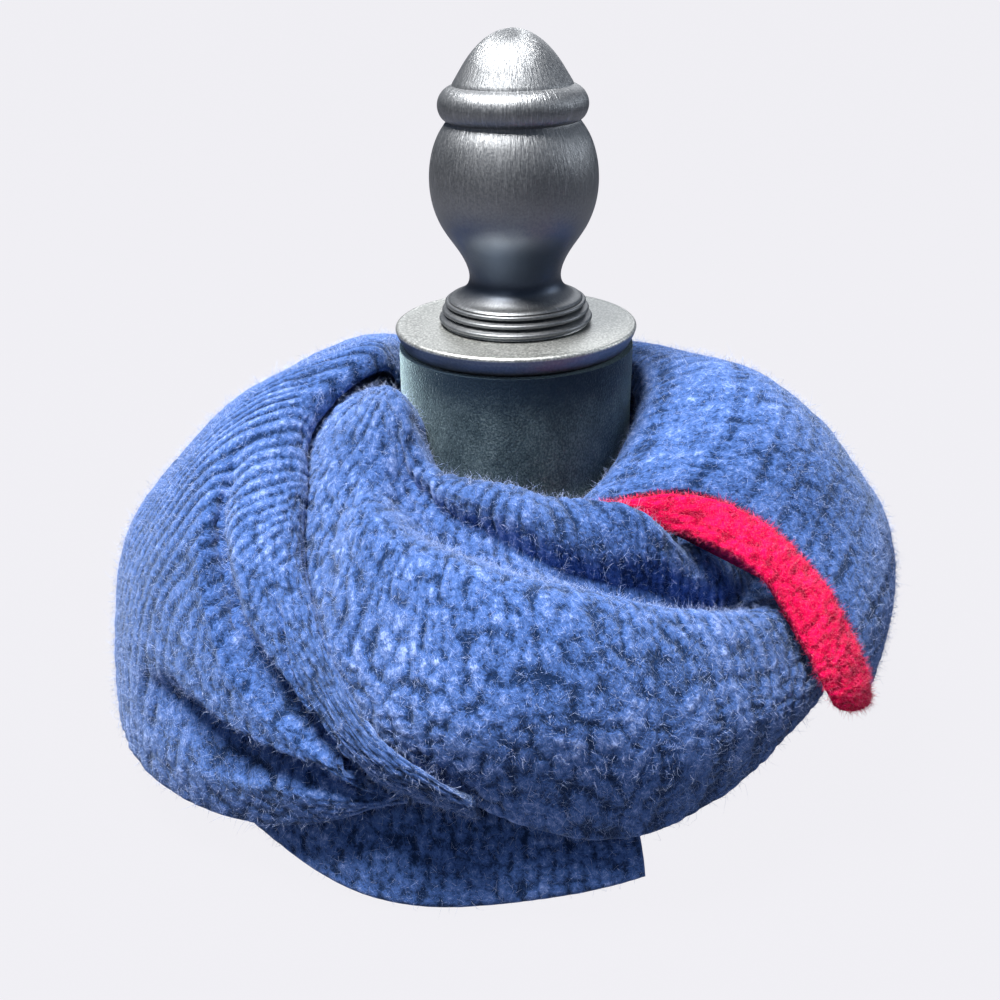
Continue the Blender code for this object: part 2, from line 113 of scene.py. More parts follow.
# Each row of a cloth table is one section: its angle at the hem and the (radius, height) of each
# named line that runs along the cloth, from its edge at the neck to its hem.
# Lean is by how many degrees the neck edge of a section lags behind its hem, because the rows of
# knitting fan out there. LEAN_SHARES says how much of it each named line has.
OuterRow = namedtuple("OuterRow", "angle lean inner lip crest slope side wide hem")
OUTER_ROWS = table(OuterRow, [
    (-42.3, 28.4, (69, 135), (76, 138.5), (89, 141.5), (131, 138.5), (160, 117), (180, 93), (187, 76)),
    (-33, 35, (63, 141), (70, 147), (93, 157), (131, 151), (162, 127), (184, 98), (189, 70)),
    (-20, 24, (59, 152), (65, 163), (95, 177), (134, 174), (165, 150), (188, 104), (184, 62)),
    (-5, 12, (57, 168), (63, 181), (93, 194), (133, 184), (165, 152), (188, 105), (181, 60)),
    (15, 5, (57, 176), (63, 189), (89, 194), (127.5, 170.5), (158.5, 136.5), (183, 99), (177, 58)),
    (40, 0, (57, 171), (63, 184), (86, 187.5), (120, 159.5), (148, 126), (171, 91), (167, 56)),
    (65, 0, (57, 167), (63, 180), (85, 184), (115.5, 159), (143, 125), (161, 90), (158, 54)),
    (90, 0, (57, 166), (63, 178), (85, 182), (115, 165), (140, 130), (156, 90), (152, 52)),
    (120, 0, (57, 170), (63, 183), (84, 185), (116, 165), (146, 128), (167, 87), (164, 50)),
    (150, 0, (57, 178), (63, 192), (85.5, 195), (125, 172), (160.5, 134), (187, 87), (184, 46)),
    (172, 0, (57, 182), (63, 201), (87.5, 198), (131, 178.5), (170, 142.5), (196.5, 99.5), (201.5, 40.5)),
    (187, 0, (69, 191), (73, 198), (93, 196), (131.5, 181), (171, 144.5), (196.5, 103), (205, 36.5)),
    (192, 0, (83, 184.5), (87, 191), (104, 189), (137.5, 177.5), (172, 144.5), (196.5, 102), (205, 34.5)),
    (197, 0, (97, 172.5), (100, 179.5), (111, 183), (143, 172), (172.5, 142), (196.5, 99), (205, 32.5)),
    (207, 0, (107, 156), (110, 162.5), (120, 166.5), (148, 159.5), (174, 132.5), (195, 91), (202, 28)),
    (216, 0, (117, 144), (120, 150.5), (129, 153.5), (153, 146), (173.5, 122.5), (190.5, 83), (195.5, 25.5)),
    (225, 0, (130, 131), (133, 136.5), (141, 139.5), (159, 131), (175.5, 107.5), (186.5, 71), (187.5, 25.5)),
    (234, 0, (144, 118), (147, 123), (154, 123), (165, 114), (176.5, 91.5), (182, 62.5), (179.5, 30.5)),
    (243, 0, (160, 103), (163, 106), (167, 105), (172, 96), (176, 79.5), (176.5, 57), (171.5, 40)),
    (250, 0, (169, 88), (172, 90), (175, 87), (176, 79), (173, 67), (168, 55), (160, 46)),
    (257, 0, (173, 77), (175, 78), (176, 74), (174, 67), (169, 59), (163, 53), (155, 48)),
    (266, 0, (171, 58), (172, 58), (172, 56), (171, 53), (169, 50), (166, 46), (162, 43)),
])
LEAN_SHARES = (1.0, 0.87, 0.5, 0.15, 0.06, 0.07, 0.0)
BAND_ANGLES = (-42.3, -33.0)
RIGHT_WRAP_END = 66.0
BACK_WRAP_END = 150.0
OUTER_END = 264.0

# The front wrap comes out from under the outer wrap at the left of the neck, folds over itself
# along the collar roll, and sweeps across the front to lie under the end band.
FrontRow = namedtuple("FrontRow", "angle lean inner lip roll crease ridge belly low hem")
FRONT_ROWS = table(FrontRow, [
    (165, 0, (57, 165), (62, 174), (67, 177), (74, 177), (86, 172), (104, 156), (118, 137), (128, 120)),
    (190, 0, (57, 172), (62, 183), (68, 186.5), (75, 185.5), (87, 180.5), (105, 162), (120, 140), (132, 118)),
    (203, 0, (57, 177), (64, 189), (69, 191), (77, 188), (90, 177), (109, 152.5), (128, 126), (139, 104)),
    (212, 0, (57, 180), (66, 192), (71, 192), (79, 188), (92, 173), (113, 147.5), (134, 119), (146, 91)),
    (222, 0, (57, 174), (67, 186), (72, 185), (81, 173), (96, 162), (119.5, 140), (141.5, 110.5), (150, 81)),
    (230, 0, (57, 156), (68, 169), (75, 168), (84, 154), (102, 157), (126.5, 135.2), (146.5, 105.3),
     (152, 74)),
    (237, 0, (58, 149), (64, 160), (75, 163), (86, 147), (106, 154), (136, 131), (154, 100), (155, 69)),
    (244, 0, (58.5, 149), (63, 160), (77, 162), (90, 142), (111, 150), (142, 125), (158, 94), (157.5, 64.5)),
    (256, 0, (59, 148), (64, 159), (79, 161), (94, 138), (117, 147), (150, 122), (167, 92), (162, 64.5)),
    (270, 0, (60, 147), (66, 158), (82, 158), (98, 133), (122, 142), (155, 123), (171, 92), (164, 46)),
    (281, 0, (66, 148), (70, 156), (86, 154), (101, 125), (124, 136), (158, 118), (173, 84), (167, 37)),
    (289, 0, (70, 147), (74, 155), (89, 151), (105, 119), (128, 131), (160, 112), (174, 80), (169, 36)),
    (297, 0, (85, 151.5), (89, 156.5), (99, 150.5), (113, 114), (134, 125), (163, 106), (175, 78), (170, 42)),
    (304, 0, (98, 147), (101.5, 152), (109.5, 147), (119, 111), (139, 121), (164, 102), (174, 79), (171, 50)),
    (311, 0, (104, 131), (107, 135.5), (113, 134), (124, 107), (144, 116), (165, 98), (174, 79), (171, 58)),
    (322, 0, (94, 133), (99, 139), (112, 134), (130, 108), (148, 112), (164, 97), (172, 82), (172, 66)),
    (335, 0, (82, 134), (86, 140), (104, 138), (125, 117), (141, 112), (157, 98), (165, 81), (163, 65)),
    (352, 0, (78, 140), (82, 146), (100, 146), (118, 130), (134, 120), (150, 102), (158, 82), (158, 67)),
])
FRONT_START = 168.0
FRONT_END = 342.0

# The under wrap starts below the right side, goes round the back and shows again as the free
# tail along the bottom of the front.
UnderRow = namedtuple("UnderRow", "angle lean top upper mid low hem")
UNDER_ROWS = table(UnderRow, [
    (-25, 0, (116, 112), (130, 98), (142, 82), (150, 68), (152, 56)),
    (0, 0, (120, 114), (140, 98), (156, 74), (168, 52), (170, 34)),
    (45, 0, (114, 116), (136, 95), (151, 70), (159, 46), (160, 24)),
    (90, 0, (98, 116), (117, 95), (131, 72), (142, 48), (146, 22)),
    (135, 0, (110, 116), (132, 95), (151, 70), (162, 46), (166, 22)),
    (180, 0, (124, 106), (147, 90), (166, 70), (179, 50), (182, 32)),
    (205, 0, (124, 102), (143, 86), (161, 64), (174, 41.5), (179, 23)),
    (227, 0, (118, 92), (138, 74), (154.5, 53.5), (169, 32.5), (174.5, 17)),
    (245, 0, (114, 86), (134, 66), (150.5, 43.5), (167, 21), (174, 6.5)),
    (257, 0, (112, 84), (134, 62), (150, 41), (164.5, 18.5), (171, 4.5)),
    (270, 0, (112, 84), (134, 62), (149, 42), (162, 23), (168, 8)),
    (290, 0, (114, 86), (136, 64), (151, 45), (164, 29), (169, 16)),
])
UNDER_START = -14.0
UNDER_END = 289.0
TAIL_START = 205.0

# The deep folds of the left front: where each crease runs (the angle, and the place across the
# cloth from 0 at the neck to 1 at the hem), how deep it is, and how far the cloth draws in
# towards it from the neck side and from the hem side.
FoldRow = namedtuple("FoldRow", "angle across depth neck_side hem_side")
OUTER_FOLDS = [
    table(FoldRow, [
        (200, 0.27, 0, 16, 12),
        (208, 0.34, 4, 18, 12),
        (216, 0.46, 10, 22, 12),
        (226, 0.53, 15, 22, 12),
        (236, 0.53, 16, 20, 12),
        (244, 0.55, 12, 14, 14),
        (251, 0.66, 5, 12, 14),
        (257, 0.75, 0, 12, 14),
    ]),
    table(FoldRow, [
        (208, 0.84, 0, 14, 18),
        (218, 0.81, 8, 13, 20),
        (229, 0.78, 13, 12, 20),
        (238, 0.72, 13, 12, 18),
        (246, 0.74, 7, 12, 14),
        (253, 0.82, 0, 12, 12),
    ]),
]

# The narrow creases in which two folds press together, with the same columns.
OUTER_CREASES = [
    table(FoldRow, [
        (200, 0.27, 0, 6, 5),
        (206, 0.32, 2.5, 7, 5),
        (213, 0.42, 4, 8, 5),
        (222, 0.505, 6, 9, 5),
        (232, 0.508, 7, 10, 5),
        (241, 0.505, 7.5, 10, 6),
        (250, 0.56, 5, 8, 6),
        (256, 0.70, 0, 8, 6),
    ]),
    table(FoldRow, [
        (206, 0.84, 0, 6, 7),
        (212, 0.823, 2, 7, 8),
        (220, 0.79, 5, 7, 9),
        (228, 0.762, 7, 8, 9),
        (236, 0.712, 8, 8, 9),
        (243, 0.675, 7, 8, 9),
        (248, 0.75, 4, 8, 9),
        (253, 0.86, 0, 8, 9),
    ]),
    table(FoldRow, [
        (226, 0.26, 0, 6, 5),
        (231, 0.285, 3, 6, 5),
        (235, 0.385, 4.5, 7, 5),
        (239, 0.43, 4.5, 7, 5),
        (243, 0.47, 3, 7, 5),
        (246, 0.49, 0, 7, 5),
    ]),
]
FRONT_CREASES = [
    table(FoldRow, [
        (224, 0.17, 0, 8, 5),
        (231, 0.205, 4, 9, 5),
        (246, 0.222, 6, 10, 5),
        (265, 0.241, 8, 11, 5),
        (281, 0.258, 9, 11, 5),
        (292, 0.261, 10, 11, 5),
        (304, 0.255, 10, 11, 6),
        (316, 0.27, 8, 10, 8),
        (326, 0.30, 4, 10, 8),
        (338, 0.30, 0, 10, 8),
    ]),
]

# How finely a stretch is worked out: millimetres between columns, at GRID_RADIUS, and across.
# The inner face has every INNER_SKIPth point across, and a turned piece has TURNED_STEPS round.
FINE_GRID = 1.05
LEFT_GRID = 1.15
MIDDLE_GRID = 1.25
BACK_GRID = 1.6
HIDDEN_GRID = 3.0
GRID_RADIUS = 165.0
INNER_SKIP = 6
TURNED_STEPS = 160

# The angles between which a stretch shows from the front, and is worked out most finely.
RIGHT_SHOWN_END = 40.0
LEFT_SHOWN_START = 170.0
FRONT_SHOWN = (185.0, 332.0)

# The seeds of each table's knitting.
OUTER_SEED = 21
FRONT_SEED = 33
UNDER_SEED = 45
BAND_SEED = 57

# The nap: short fuzz that lies over the knitting and longer hairs that stand out of it. Each has
# its number of fibres, its shortest and longest length, its width, its least and most lean, whether
# its fibres are curved, and the seed of their places.
NapRow = namedtuple("NapRow", "count shortest longest width least_lean most_lean curved seed")
BLUE_FUZZ = NapRow(48000, 1.6, 4.4, 0.17, 0.6, 3.0, False, 5)
BLUE_HAIRS = NapRow(11000, 3.6, 8.2, 0.11, 0.7, 2.4, True, 8)
RED_FUZZ = NapRow(14000, 1.4, 4.0, 0.17, 0.5, 2.4, False, 6)

# The camera's place in metres, its tilt down in degrees and its lens in millimetres, for a sensor
# 36 mm wide: all fitted from the ellipses of the cap.
CAMERA_PLACE = (-0.0077, -0.602, 0.393)
CAMERA_DOWN = 24.3
CAMERA_LENS = 46.8

# Each lamp: its place and aim in metres, its size in metres, its power and its colour.
Lamp = namedtuple("Lamp", "name place aim size power colour")
LAMPS = [
    Lamp("key", (-0.38, -0.22, 1.5), (0, 0, 0.1), 0.55, 70, (1.0, 0.985, 0.965)),
    Lamp("back", (0.2, 1.2, 0.85), (0, 0, 0.2), 0.9, 3.5, (0.97, 0.98, 1.0)),
    Lamp("right", (1.0, 0.2, 0.6), (0, 0, 0.15), 0.5, 3, (0.9, 0.95, 1.0)),
    Lamp("front", (-0.6, -1.0, 0.8), (0, 0, 0.15), 0.4, 1.0, (0.95, 0.97, 1.0)),
]

# The surround's colour below and above, the floor's half width in metres and its true colour, the
# backdrop's colour that the camera sees on it, and how much of that it sees.
LOW_SKY = (0.01, 0.02, 0.05)
HIGH_SKY = (0.2, 0.24, 0.31)
FLOOR_HALF = 9.0
FLOOR_COLOUR = (0.2, 0.2, 0.22)
BACKDROP_COLOUR = (0.88, 0.872, 0.913)
BACKDROP_SHARE = 0.985

# The knitting's further sizes: millimetres of its pattern to a row, rows from one broad rib to the
# next, stitches from one column of dashes to the next, the radii between which the rows gather
# towards the neck, and how lumpy the cloth is in millimetres.
ROW_PITCH = 6.0
RIB_ROWS = 3.4
COLUMN_STITCHES = 3.2
GATHER = (86.0, 118.0)
LUMPS = 2.6

# The end band's own grid in millimetres, its columns, rows and stitch, and the shares of its length
# that are round at its end and narrow at its tip.
BAND_GRID = 0.9
BAND_COLUMNS = 34
BAND_ROWS = 5.0
BAND_STITCH = 4.4
BAND_ROUND_END = 0.05
BAND_NARROW_TIP = 0.2

# The colours of the wool: painted shade in its gaps, its yarn, and a painted highlight at its fuzzy tips. Its
# bump is in metres.
WOOL_BUMP = 0.0011
BLUE_WOOL = ((0.001, 0.014, 0.06), (0.05, 0.113, 0.33), (0.32, 0.42, 0.76))
RED_WOOL = ((0.3, 0.0, 0.03), (0.74, 0.001, 0.075), (0.82, 0.01, 0.14))

# The node of the part that each piece is shown in place of.
REPLACED = {
    "right_wrap_cloth": "right_wrap",
    "back_wrap_cloth": "back_wrap",
    "left_wrap_cloth": "left_wrap",
    "front_wrap_cloth": "front_wrap",
    "under_wrap_cloth": "under_wrap",
    "front_tail_cloth": "front_tail",
    "end_band_cloth": "end_band",
    "form_cover": "form_bust",
    "cap_plate_metal": "cap_plate",
    "cap_collar_metal": "cap_collar",
    "finial_metal": "finial",
}


def smooth_line(at, values, wanted):
    """A natural cubic spline through values, a column each, at the rising places at, read at wanted."""
    at = np.asarray(at, float)
    values = np.asarray(values, float)
    count = len(at)
    step = np.diff(at)
    slope = np.diff(values, axis=0) / step[:, None]
    system = np.eye(count)
    right = np.zeros_like(values)
    for i in range(1, count - 1):
        system[i, i - 1 : i + 2] = step[i - 1], 2 * (step[i - 1] + step[i]), step[i]
        right[i] = 3 * (slope[i] - slope[i - 1])
    bend = np.linalg.solve(system, right)
    i = np.clip(np.searchsorted(at, wanted) - 1, 0, count - 2)
    t = (wanted - at[i])[:, None]
    h = step[i][:, None]
    linear = slope[i] - h * (2 * bend[i] + bend[i + 1]) / 3
    return values[i] + t * (linear + t * (bend[i] + t * (bend[i + 1] - bend[i]) / (3 * h)))


def section_points(rows):
    """The rows' points as an array: row, named line, (radius, height)."""
    return np.array([row[2:] for row in rows], float)


def lean_shares(rows):
    """The share of the lean that each named line has: none but in the outer table."""
    count = len(rows[0]) - 2
    return np.array(LEAN_SHARES if count == len(LEAN_SHARES) else [0.0] * count)


def knot_places(rows):
    """Where each named line lies across the cloth, from 0 to 1, by its average distance."""
    points = section_points(rows)
    lengths = np.linalg.norm(np.diff(points, axis=1), axis=2).mean(axis=0)
    places = np.concatenate([[0], np.cumsum(lengths)])
    return places / places[-1]


def cloth_width(rows):
    lines = section_points(rows)
    return np.linalg.norm(np.diff(lines, axis=1), axis=2).sum(axis=1).mean()


def section_grid(rows, angles, places):
    """The smooth surface's (radius, height, turn) for each pair of an angle and a place across."""
    points = section_points(rows)
    at = [row.angle for row in rows]
    shares = lean_shares(rows)
    turns = np.array([[row.angle - row.lean * share for share in shares] for row in rows])
    knots = np.concatenate([points, turns[:, :, None]], axis=2)
    along = smooth_line(at, knots.reshape(len(rows), -1), angles).reshape(len(angles), -1, 3)
    across = along.transpose(1, 0, 2).reshape(knots.shape[1], -1)
    grid = smooth_line(knot_places(rows), across, places)
    grid = grid.reshape(len(places), len(angles), 3).transpose(1, 0, 2)
    grid[:, :, 0] = np.maximum(grid[:, :, 0], NECK_RADIUS + NECK_GAP)
    return grid


def cylinder_points(grid):
    turn = np.radians(grid[:, :, 2])
    radius = grid[:, :, 0]
    return np.stack([radius * np.cos(turn), radius * np.sin(turn), grid[:, :, 1]], axis=2)


def fold_depth(folds, angles, places, width, sharp=False):
    """How far the cloth is drawn in by its folds, in millimetres, over the same grid."""
    depth = np.zeros((len(angles), len(places)))
    for fold in folds:
        rows = np.array(fold, float)
        line = np.stack([np.interp(angles, rows[:, 0], rows[:, i]) for i in range(1, 5)])
        deep = np.where((angles > rows[0, 0]) & (angles < rows[-1, 0]), line[1], 0)[:, None]
        away = (places[None, :] - line[0][:, None]) * width
        reach = np.where(away < 0, line[2][:, None], line[3][:, None])
        near = np.clip(1 - np.abs(away) / reach, 0, 1)
        near = near**1.5 if sharp else near**2 * (3 - 2 * near)
        depth = np.maximum(depth, deep * near)
    return depth


def outward(points):
    """Unit normals of a grid of points that runs anticlockwise and from the neck to the hem."""
    along = np.gradient(points, axis=0)
    across = np.gradient(points, axis=1)
    normal = np.cross(across, along)
    return normal / np.linalg.norm(normal, axis=2, keepdims=True)


def cloth_surface(rows, angles, places, folds=(), creases=()):
    """The outer face of a stretch of cloth, in millimetres, over a grid of angles and places."""
    points = cylinder_points(section_grid(rows, angles, places))
    width = cloth_width(rows)
    if folds:
        depth = fold_depth(folds, angles, places, width)
        points = points - outward(points) * depth[:, :, None]
    if creases:
        depth = fold_depth(creases, angles, places, width, sharp=True)
        points = points - outward(points) * depth[:, :, None]
    return points


def chance(column, row, seed):
    """A fixed pseudo-random number from 0 to 1 for each whole column and row."""
    mixed = column.astype(np.int64) * 374761393 + row.astype(np.int64) * 668265263 + seed * 974634777
    mixed = (mixed ^ (mixed >> 13)) * 1274126177 & 0x7FFFFFFF
    return ((mixed ^ (mixed >> 16)) & 0xFFFF) / 65535.0


def soft_noise(x, y, seed):
    """Smooth noise from 0 to 1: chance at whole numbers, blended by an eased step in between."""
    left = np.floor(x)
    low = np.floor(y)
    over = x - left
    up = y - low
    over = over * over * (3 - 2 * over)
    up = up * up * (3 - 2 * up)
    bottom = chance(left, low, seed) * (1 - over) + chance(left + 1, low, seed) * over
    top = chance(left, low + 1, seed) * (1 - over) + chance(left + 1, low + 1, seed) * over
    return bottom * (1 - up) + top * up


def eased(value, low, high):
    """Value eased to run from 0 at low to 1 at high."""
    share = np.clip((value - low) / (high - low), 0, 1)
    return share * share * (3 - 2 * share)


def nearest_point(x, y, jitter, seed):
    """The distance to the nearest of the points scattered one to each unit square."""
    nearest = np.full(x.shape, 9.0)
    left = np.floor(x)
    low = np.floor(y)
    for i in (-1, 0, 1):
        for j in (-1, 0, 1):
            column, row = left + i, low + j
            across = column + 0.5 + jitter * (chance(column, row, seed) - 0.5)
            up = row + 0.5 + jitter * (chance(column, row, seed + 1) - 0.5)
            nearest = np.minimum(nearest, np.hypot(x - across, y - up))
    return nearest


def knit_height(course, stitch, ridged, seed):
    """The knitting's height from 0 to 1, where course counts the rows and stitch the stitches.

    Where it isn't ridged it is a bed of soft round tufts, one to a stitch and scattered a little,
    with dark pits where tufts part. Where it is ridged, from 0 to 1, the stitches of a row run
    together into a round ridge. Rows and stitches wander.
    """
    wander = soft_noise(course / 5.0, stitch / 5.0, seed)
    wander = wander + 0.5 * soft_noise(course / 2.1, stitch / 2.3, seed + 2)
    sway = soft_noise(course / 4.0, stitch / 4.0, seed + 7)
    sway = sway + 0.5 * soft_noise(course / 2.2, stitch / 2, seed + 9)
    course = course + 1.3 * (wander - 0.75)
    stitch = stitch + 1.2 * (sway - 0.75)
    row = np.floor(course)
    from_row = np.abs(2 * (course - row) - 1)
    away = nearest_point(course, stitch * 0.92, 0.85, seed + 4)
    small = nearest_point(course * 1.7 + 5, stitch * 1.6, 0.9, seed + 14)
    tuft = np.clip(1 - (away / 0.8) ** 2, 0, 1) * (1 - 0.25 * np.clip(small, 0, 1))
    full = 0.7 + 0.45 * soft_noise(course * 0.9, stitch * 0.9, seed + 6)
    lump = soft_noise(course / 1.5, stitch / 1.5, seed + 3)
    bed = (0.1 + 0.95 * tuft) * full + 0.12 * (lump - 0.5)
    shifted = stitch + 0.5 * (row % 2)
    along = np.abs(2 * (shifted - np.floor(shifted)) - 1)
    ridge = (1 - from_row**2) * (0.82 + 0.18 * (1 - along**2)) * (0.8 + 0.3 * lump)
    return np.clip(bed * (1 - ridged) + ridge * ridged, 0, 1.15)


def broad_ribs(course, rows_apart, seed):
    """Wide soft ribs along the rows, from 0 to 1, a few rows apart and a little uneven."""
    drift = 0.8 * soft_noise(course / 9.0, course * 0, seed)
    return 0.5 + 0.5 * np.cos(2 * math.pi * (course / rows_apart + drift))


def even_columns(stretches):
    """Angles in degrees along several stretches, each a start, an end and a step in millimetres."""
    parts = []
    for start, end, step in stretches:
        count = max(2, round(math.radians(end - start) * GRID_RADIUS / step))
        parts.append(np.linspace(start, end, count, endpoint=False))
    return np.append(np.concatenate(parts), stretches[-1][1])


def edge_share(points, thickness):
    """How full the cloth's thickness is, from 0.3 at its edges to 1, as a half-round edge has it."""
    along = np.linalg.norm(np.diff(points, axis=0), axis=2)
    across = np.linalg.norm(np.diff(points, axis=1), axis=2)
    zero_row = np.zeros((1, points.shape[1]))
    zero_column = np.zeros((points.shape[0], 1))
    from_start = np.concatenate([zero_row, np.cumsum(along, axis=0)])
    from_neck = np.concatenate([zero_column, np.cumsum(across, axis=1)], axis=1)
    nearest = np.minimum(from_start, from_start[-1:] - from_start)
    nearest = np.minimum(nearest, np.minimum(from_neck, from_neck[:, -1:] - from_neck))
    inside = np.clip(nearest / (thickness / 2), 0, 1)
    return 0.3 + 0.7 * np.sqrt(1 - (1 - inside) ** 2)


def polygon_mesh(name, points, corners, starts, uv=None):
    """A smooth-shaded mesh of points in millimetres: each polygon's corners, and where each starts."""
    mesh = bpy.data.meshes.new(name)
    mesh.vertices.add(len(points))
    mesh.vertices.foreach_set("co", (points * MM).astype(np.float32).ravel())
    mesh.loops.add(len(corners))
    mesh.loops.foreach_set("vertex_index", corners.astype(np.int32))
    mesh.polygons.add(len(starts))
    mesh.polygons.foreach_set("loop_start", starts.astype(np.int32))
    if uv is not None:
        layer = mesh.uv_layers.new(name="UVMap")
        layer.data.foreach_set("uv", uv.astype(np.float32).ravel())
    mesh.update(calc_edges=True)
    mesh.shade_smooth()
    return mesh


def closed_ring_mesh(name, rings, uv, relief):
    """A closed smooth-shaded shell from a grid of closed rings, with a flat face on each end."""
    count, around = rings.shape[:2]
    index = np.arange(count * around).reshape(count, around)
    after = np.roll(index, -1, axis=1)
    quads = np.stack([index[:-1], after[:-1], after[1:], index[1:]], axis=-1).reshape(-1)
    corners = np.concatenate([quads, index[0, ::-1], index[-1]])
    starts = np.arange(0, len(quads), 4)
    starts = np.concatenate([starts, [len(quads), len(quads) + around]])
    mesh = polygon_mesh(name, rings.reshape(-1, 3), corners, starts, uv.reshape(-1, 2)[corners])
    height = mesh.attributes.new("relief", "FLOAT", "POINT")
    height.data.foreach_set("value", relief.astype(np.float32).ravel())
    return mesh


def add_piece(name, mesh, finish):
    piece = bpy.data.objects.new(name, mesh)
    bpy.context.scene.collection.objects.link(piece)
    mesh.materials.append(finish)
    return piece


Stretch = namedtuple("Stretch", "points normals")


def cloth_shell(name, points, heights, thickness, uv, finish):
    """A thin closed shell: the outer face with its knitting raised, and a plain inner face."""
    normals = outward(points)
    full = edge_share(points, thickness)
    drop = thickness / 2 * (1 - full)
    rise = (RELIEF_TOP - RELIEF * (1 - heights)) * full
    outer = points + normals * (rise - drop)[:, :, None]
    across = np.unique(np.append(np.arange(0, points.shape[1], INNER_SKIP), points.shape[1] - 1))[::-1]
    inner = (points - normals * (thickness - drop)[:, :, None])[:, across]
    rings = np.concatenate([outer, inner], axis=1)
    ring_uv = np.concatenate([uv, uv[:, across]], axis=1)
    relief = np.concatenate([heights, INNER_RELIEF + 0 * heights[:, across]], axis=1)
    mesh = closed_ring_mesh(name, rings, ring_uv, relief)
    piece = add_piece(name, mesh, finish)
    return piece, Stretch(outer, normals)


def outer_relief(angles, places, width, radius, manner, seed):
    """Heights of the knitting over a grid, in a manner: how ridged, ribbed and columned it is.

    Close to the neck the rows are gathered, and each shown row stands for two. Ribs run across the
    cloth and their grooves hold a line of small holes, one to a stitch. Columns run along it: the
    cloth is smoother between them, and each is a line of short dark dashes, one to a row.
    """
    ridged, ribs, columns = manner
    course, stitch = np.meshgrid(angles / ROW_TURN, places * width / STITCH, indexing="ij")
    fine = knit_height(course, stitch, ridged, seed)
    coarse = knit_height(course / 2, stitch * 0.9, np.clip(ridged + 0.3, 0, 1), seed + 31)
    share = eased(radius + 10 * soft_noise(course / 3, stitch / 3, seed + 13), GATHER[0], GATHER[1])
    height = coarse + (fine - coarse) * share
    broad = broad_ribs(course + 0.8 * soft_noise(course / 6, stitch / 8, seed + 17), RIB_ROWS, seed + 11)
    groove = eased(broad, 0.4, 0.0) * ribs
    shift = 0.6 * soft_noise(course, stitch / 5, seed + 19)
    holes = 0.5 + 0.5 * np.cos(2 * math.pi * (stitch * 1.15 + shift))
    flatter = height + (0.72 - height) * 0.45 * ribs * (1 - groove)
    height = flatter * (1 - 0.32 * ribs * (1 - broad)) * (1 - 0.75 * groove * holes)
    drift = 0.5 * soft_noise(course / 7, stitch / 9, seed + 23)
    column = broad_ribs(stitch / COLUMN_STITCHES * RIB_ROWS + drift, RIB_ROWS, seed + 25)
    line = eased(column, 0.2, 0.02) * columns
    dash = 0.5 + 0.5 * np.cos(2 * math.pi * (course * 1.1 + stitch * 0.35))
    height = height + (0.66 - height) * 0.6 * columns * (1 - line)
    height = height * (1 - 0.7 * line * (0.35 + 0.65 * dash))
    patch = soft_noise(course / 8.0, stitch / 7.0, seed + 5)
    return np.clip(height * (0.8 + 0.34 * patch), 0, 1.15)


def soft_lumps(angles, places, width, seed):
    """The cloth's unevenness in millimetres: soft lumps of two sizes, out and in."""
    course, stitch = np.meshgrid(angles / ROW_TURN, places * width / STITCH, indexing="ij")
    large = soft_noise(course / 9.0, stitch / 8.0, seed) - 0.5
    small = soft_noise(course / 3.6, stitch / 3.4, seed + 1) - 0.5
    return LUMPS * (large + 0.5 * small)


def surface_uv(angles, places, width):
    """Metres along and across the knitting, in which every row and stitch has the same size."""
    along, across = np.meshgrid(angles / ROW_TURN * ROW_PITCH, places * width, indexing="ij")
    return np.stack([along, across], axis=2) * MM


def bell(value, middle, spread):
    return np.exp(-(((value - middle) / spread) ** 2))


def cloth_piece(name, rows, stretches, grid, drape, manner, seed, finish):
    """One blue stretch of the scarf, from its table.

    Drape is the stretch's folds and its creases. Manner gives how ridged, ribbed and columned the
    knitting is for an angle and a place.
    """
    width = cloth_width(rows)
    angles = even_columns(stretches)
    places = np.linspace(0, 1, round(width / grid) + 1)
    points = cloth_surface(rows, angles, places, *drape)
    points = points + outward(points) * soft_lumps(angles, places, width, seed + 40)[:, :, None]
    turn, place = np.meshgrid(angles, places, indexing="ij")
    radius = np.hypot(points[:, :, 0], points[:, :, 1])
    heights = outer_relief(angles, places, width, radius, manner(turn, place), seed)
    uv = surface_uv(angles, places, width)
    piece, stretch = cloth_shell(name, points, heights, CLOTH_THICKNESS, uv, finish)
    return piece, stretch


def left_manner(turn, place):
    """Ridged on the shoulder, and tufts elsewhere."""
    ridged = 0.05 + 0.95 * bell(turn, 196, 26) * bell(place, 0.42, 0.42)
    return ridged, 0.15 + 0 * turn, 0 * turn


def right_manner(turn, place):
    """Smooth with columns, and ridged where it is gathered at the neck."""
    smooth = eased(turn, 95, 60)
    gathered = bell(turn, 75, 26) * bell(place, 0.12, 0.22)
    return 0.15 + 0.7 * gathered, 0.1 + 0 * turn, (0.72 - 0.5 * gathered) * smooth


def front_manner(turn, place):
    """Tufts, with soft ribs low on the right."""
    ribs = 0.05 + 0.8 * bell(turn, 300, 16) * bell(place, 0.9, 0.28)
    return 0.05 + 0.3 * bell(turn, 308, 14), ribs, 0 * turn


def plain_manner(turn, place):
    """Tufts that run together a little in places."""
    return 0.2 + 0.1 * np.sin(np.radians(3 * turn)), 0.15 + 0 * turn, 0 * turn


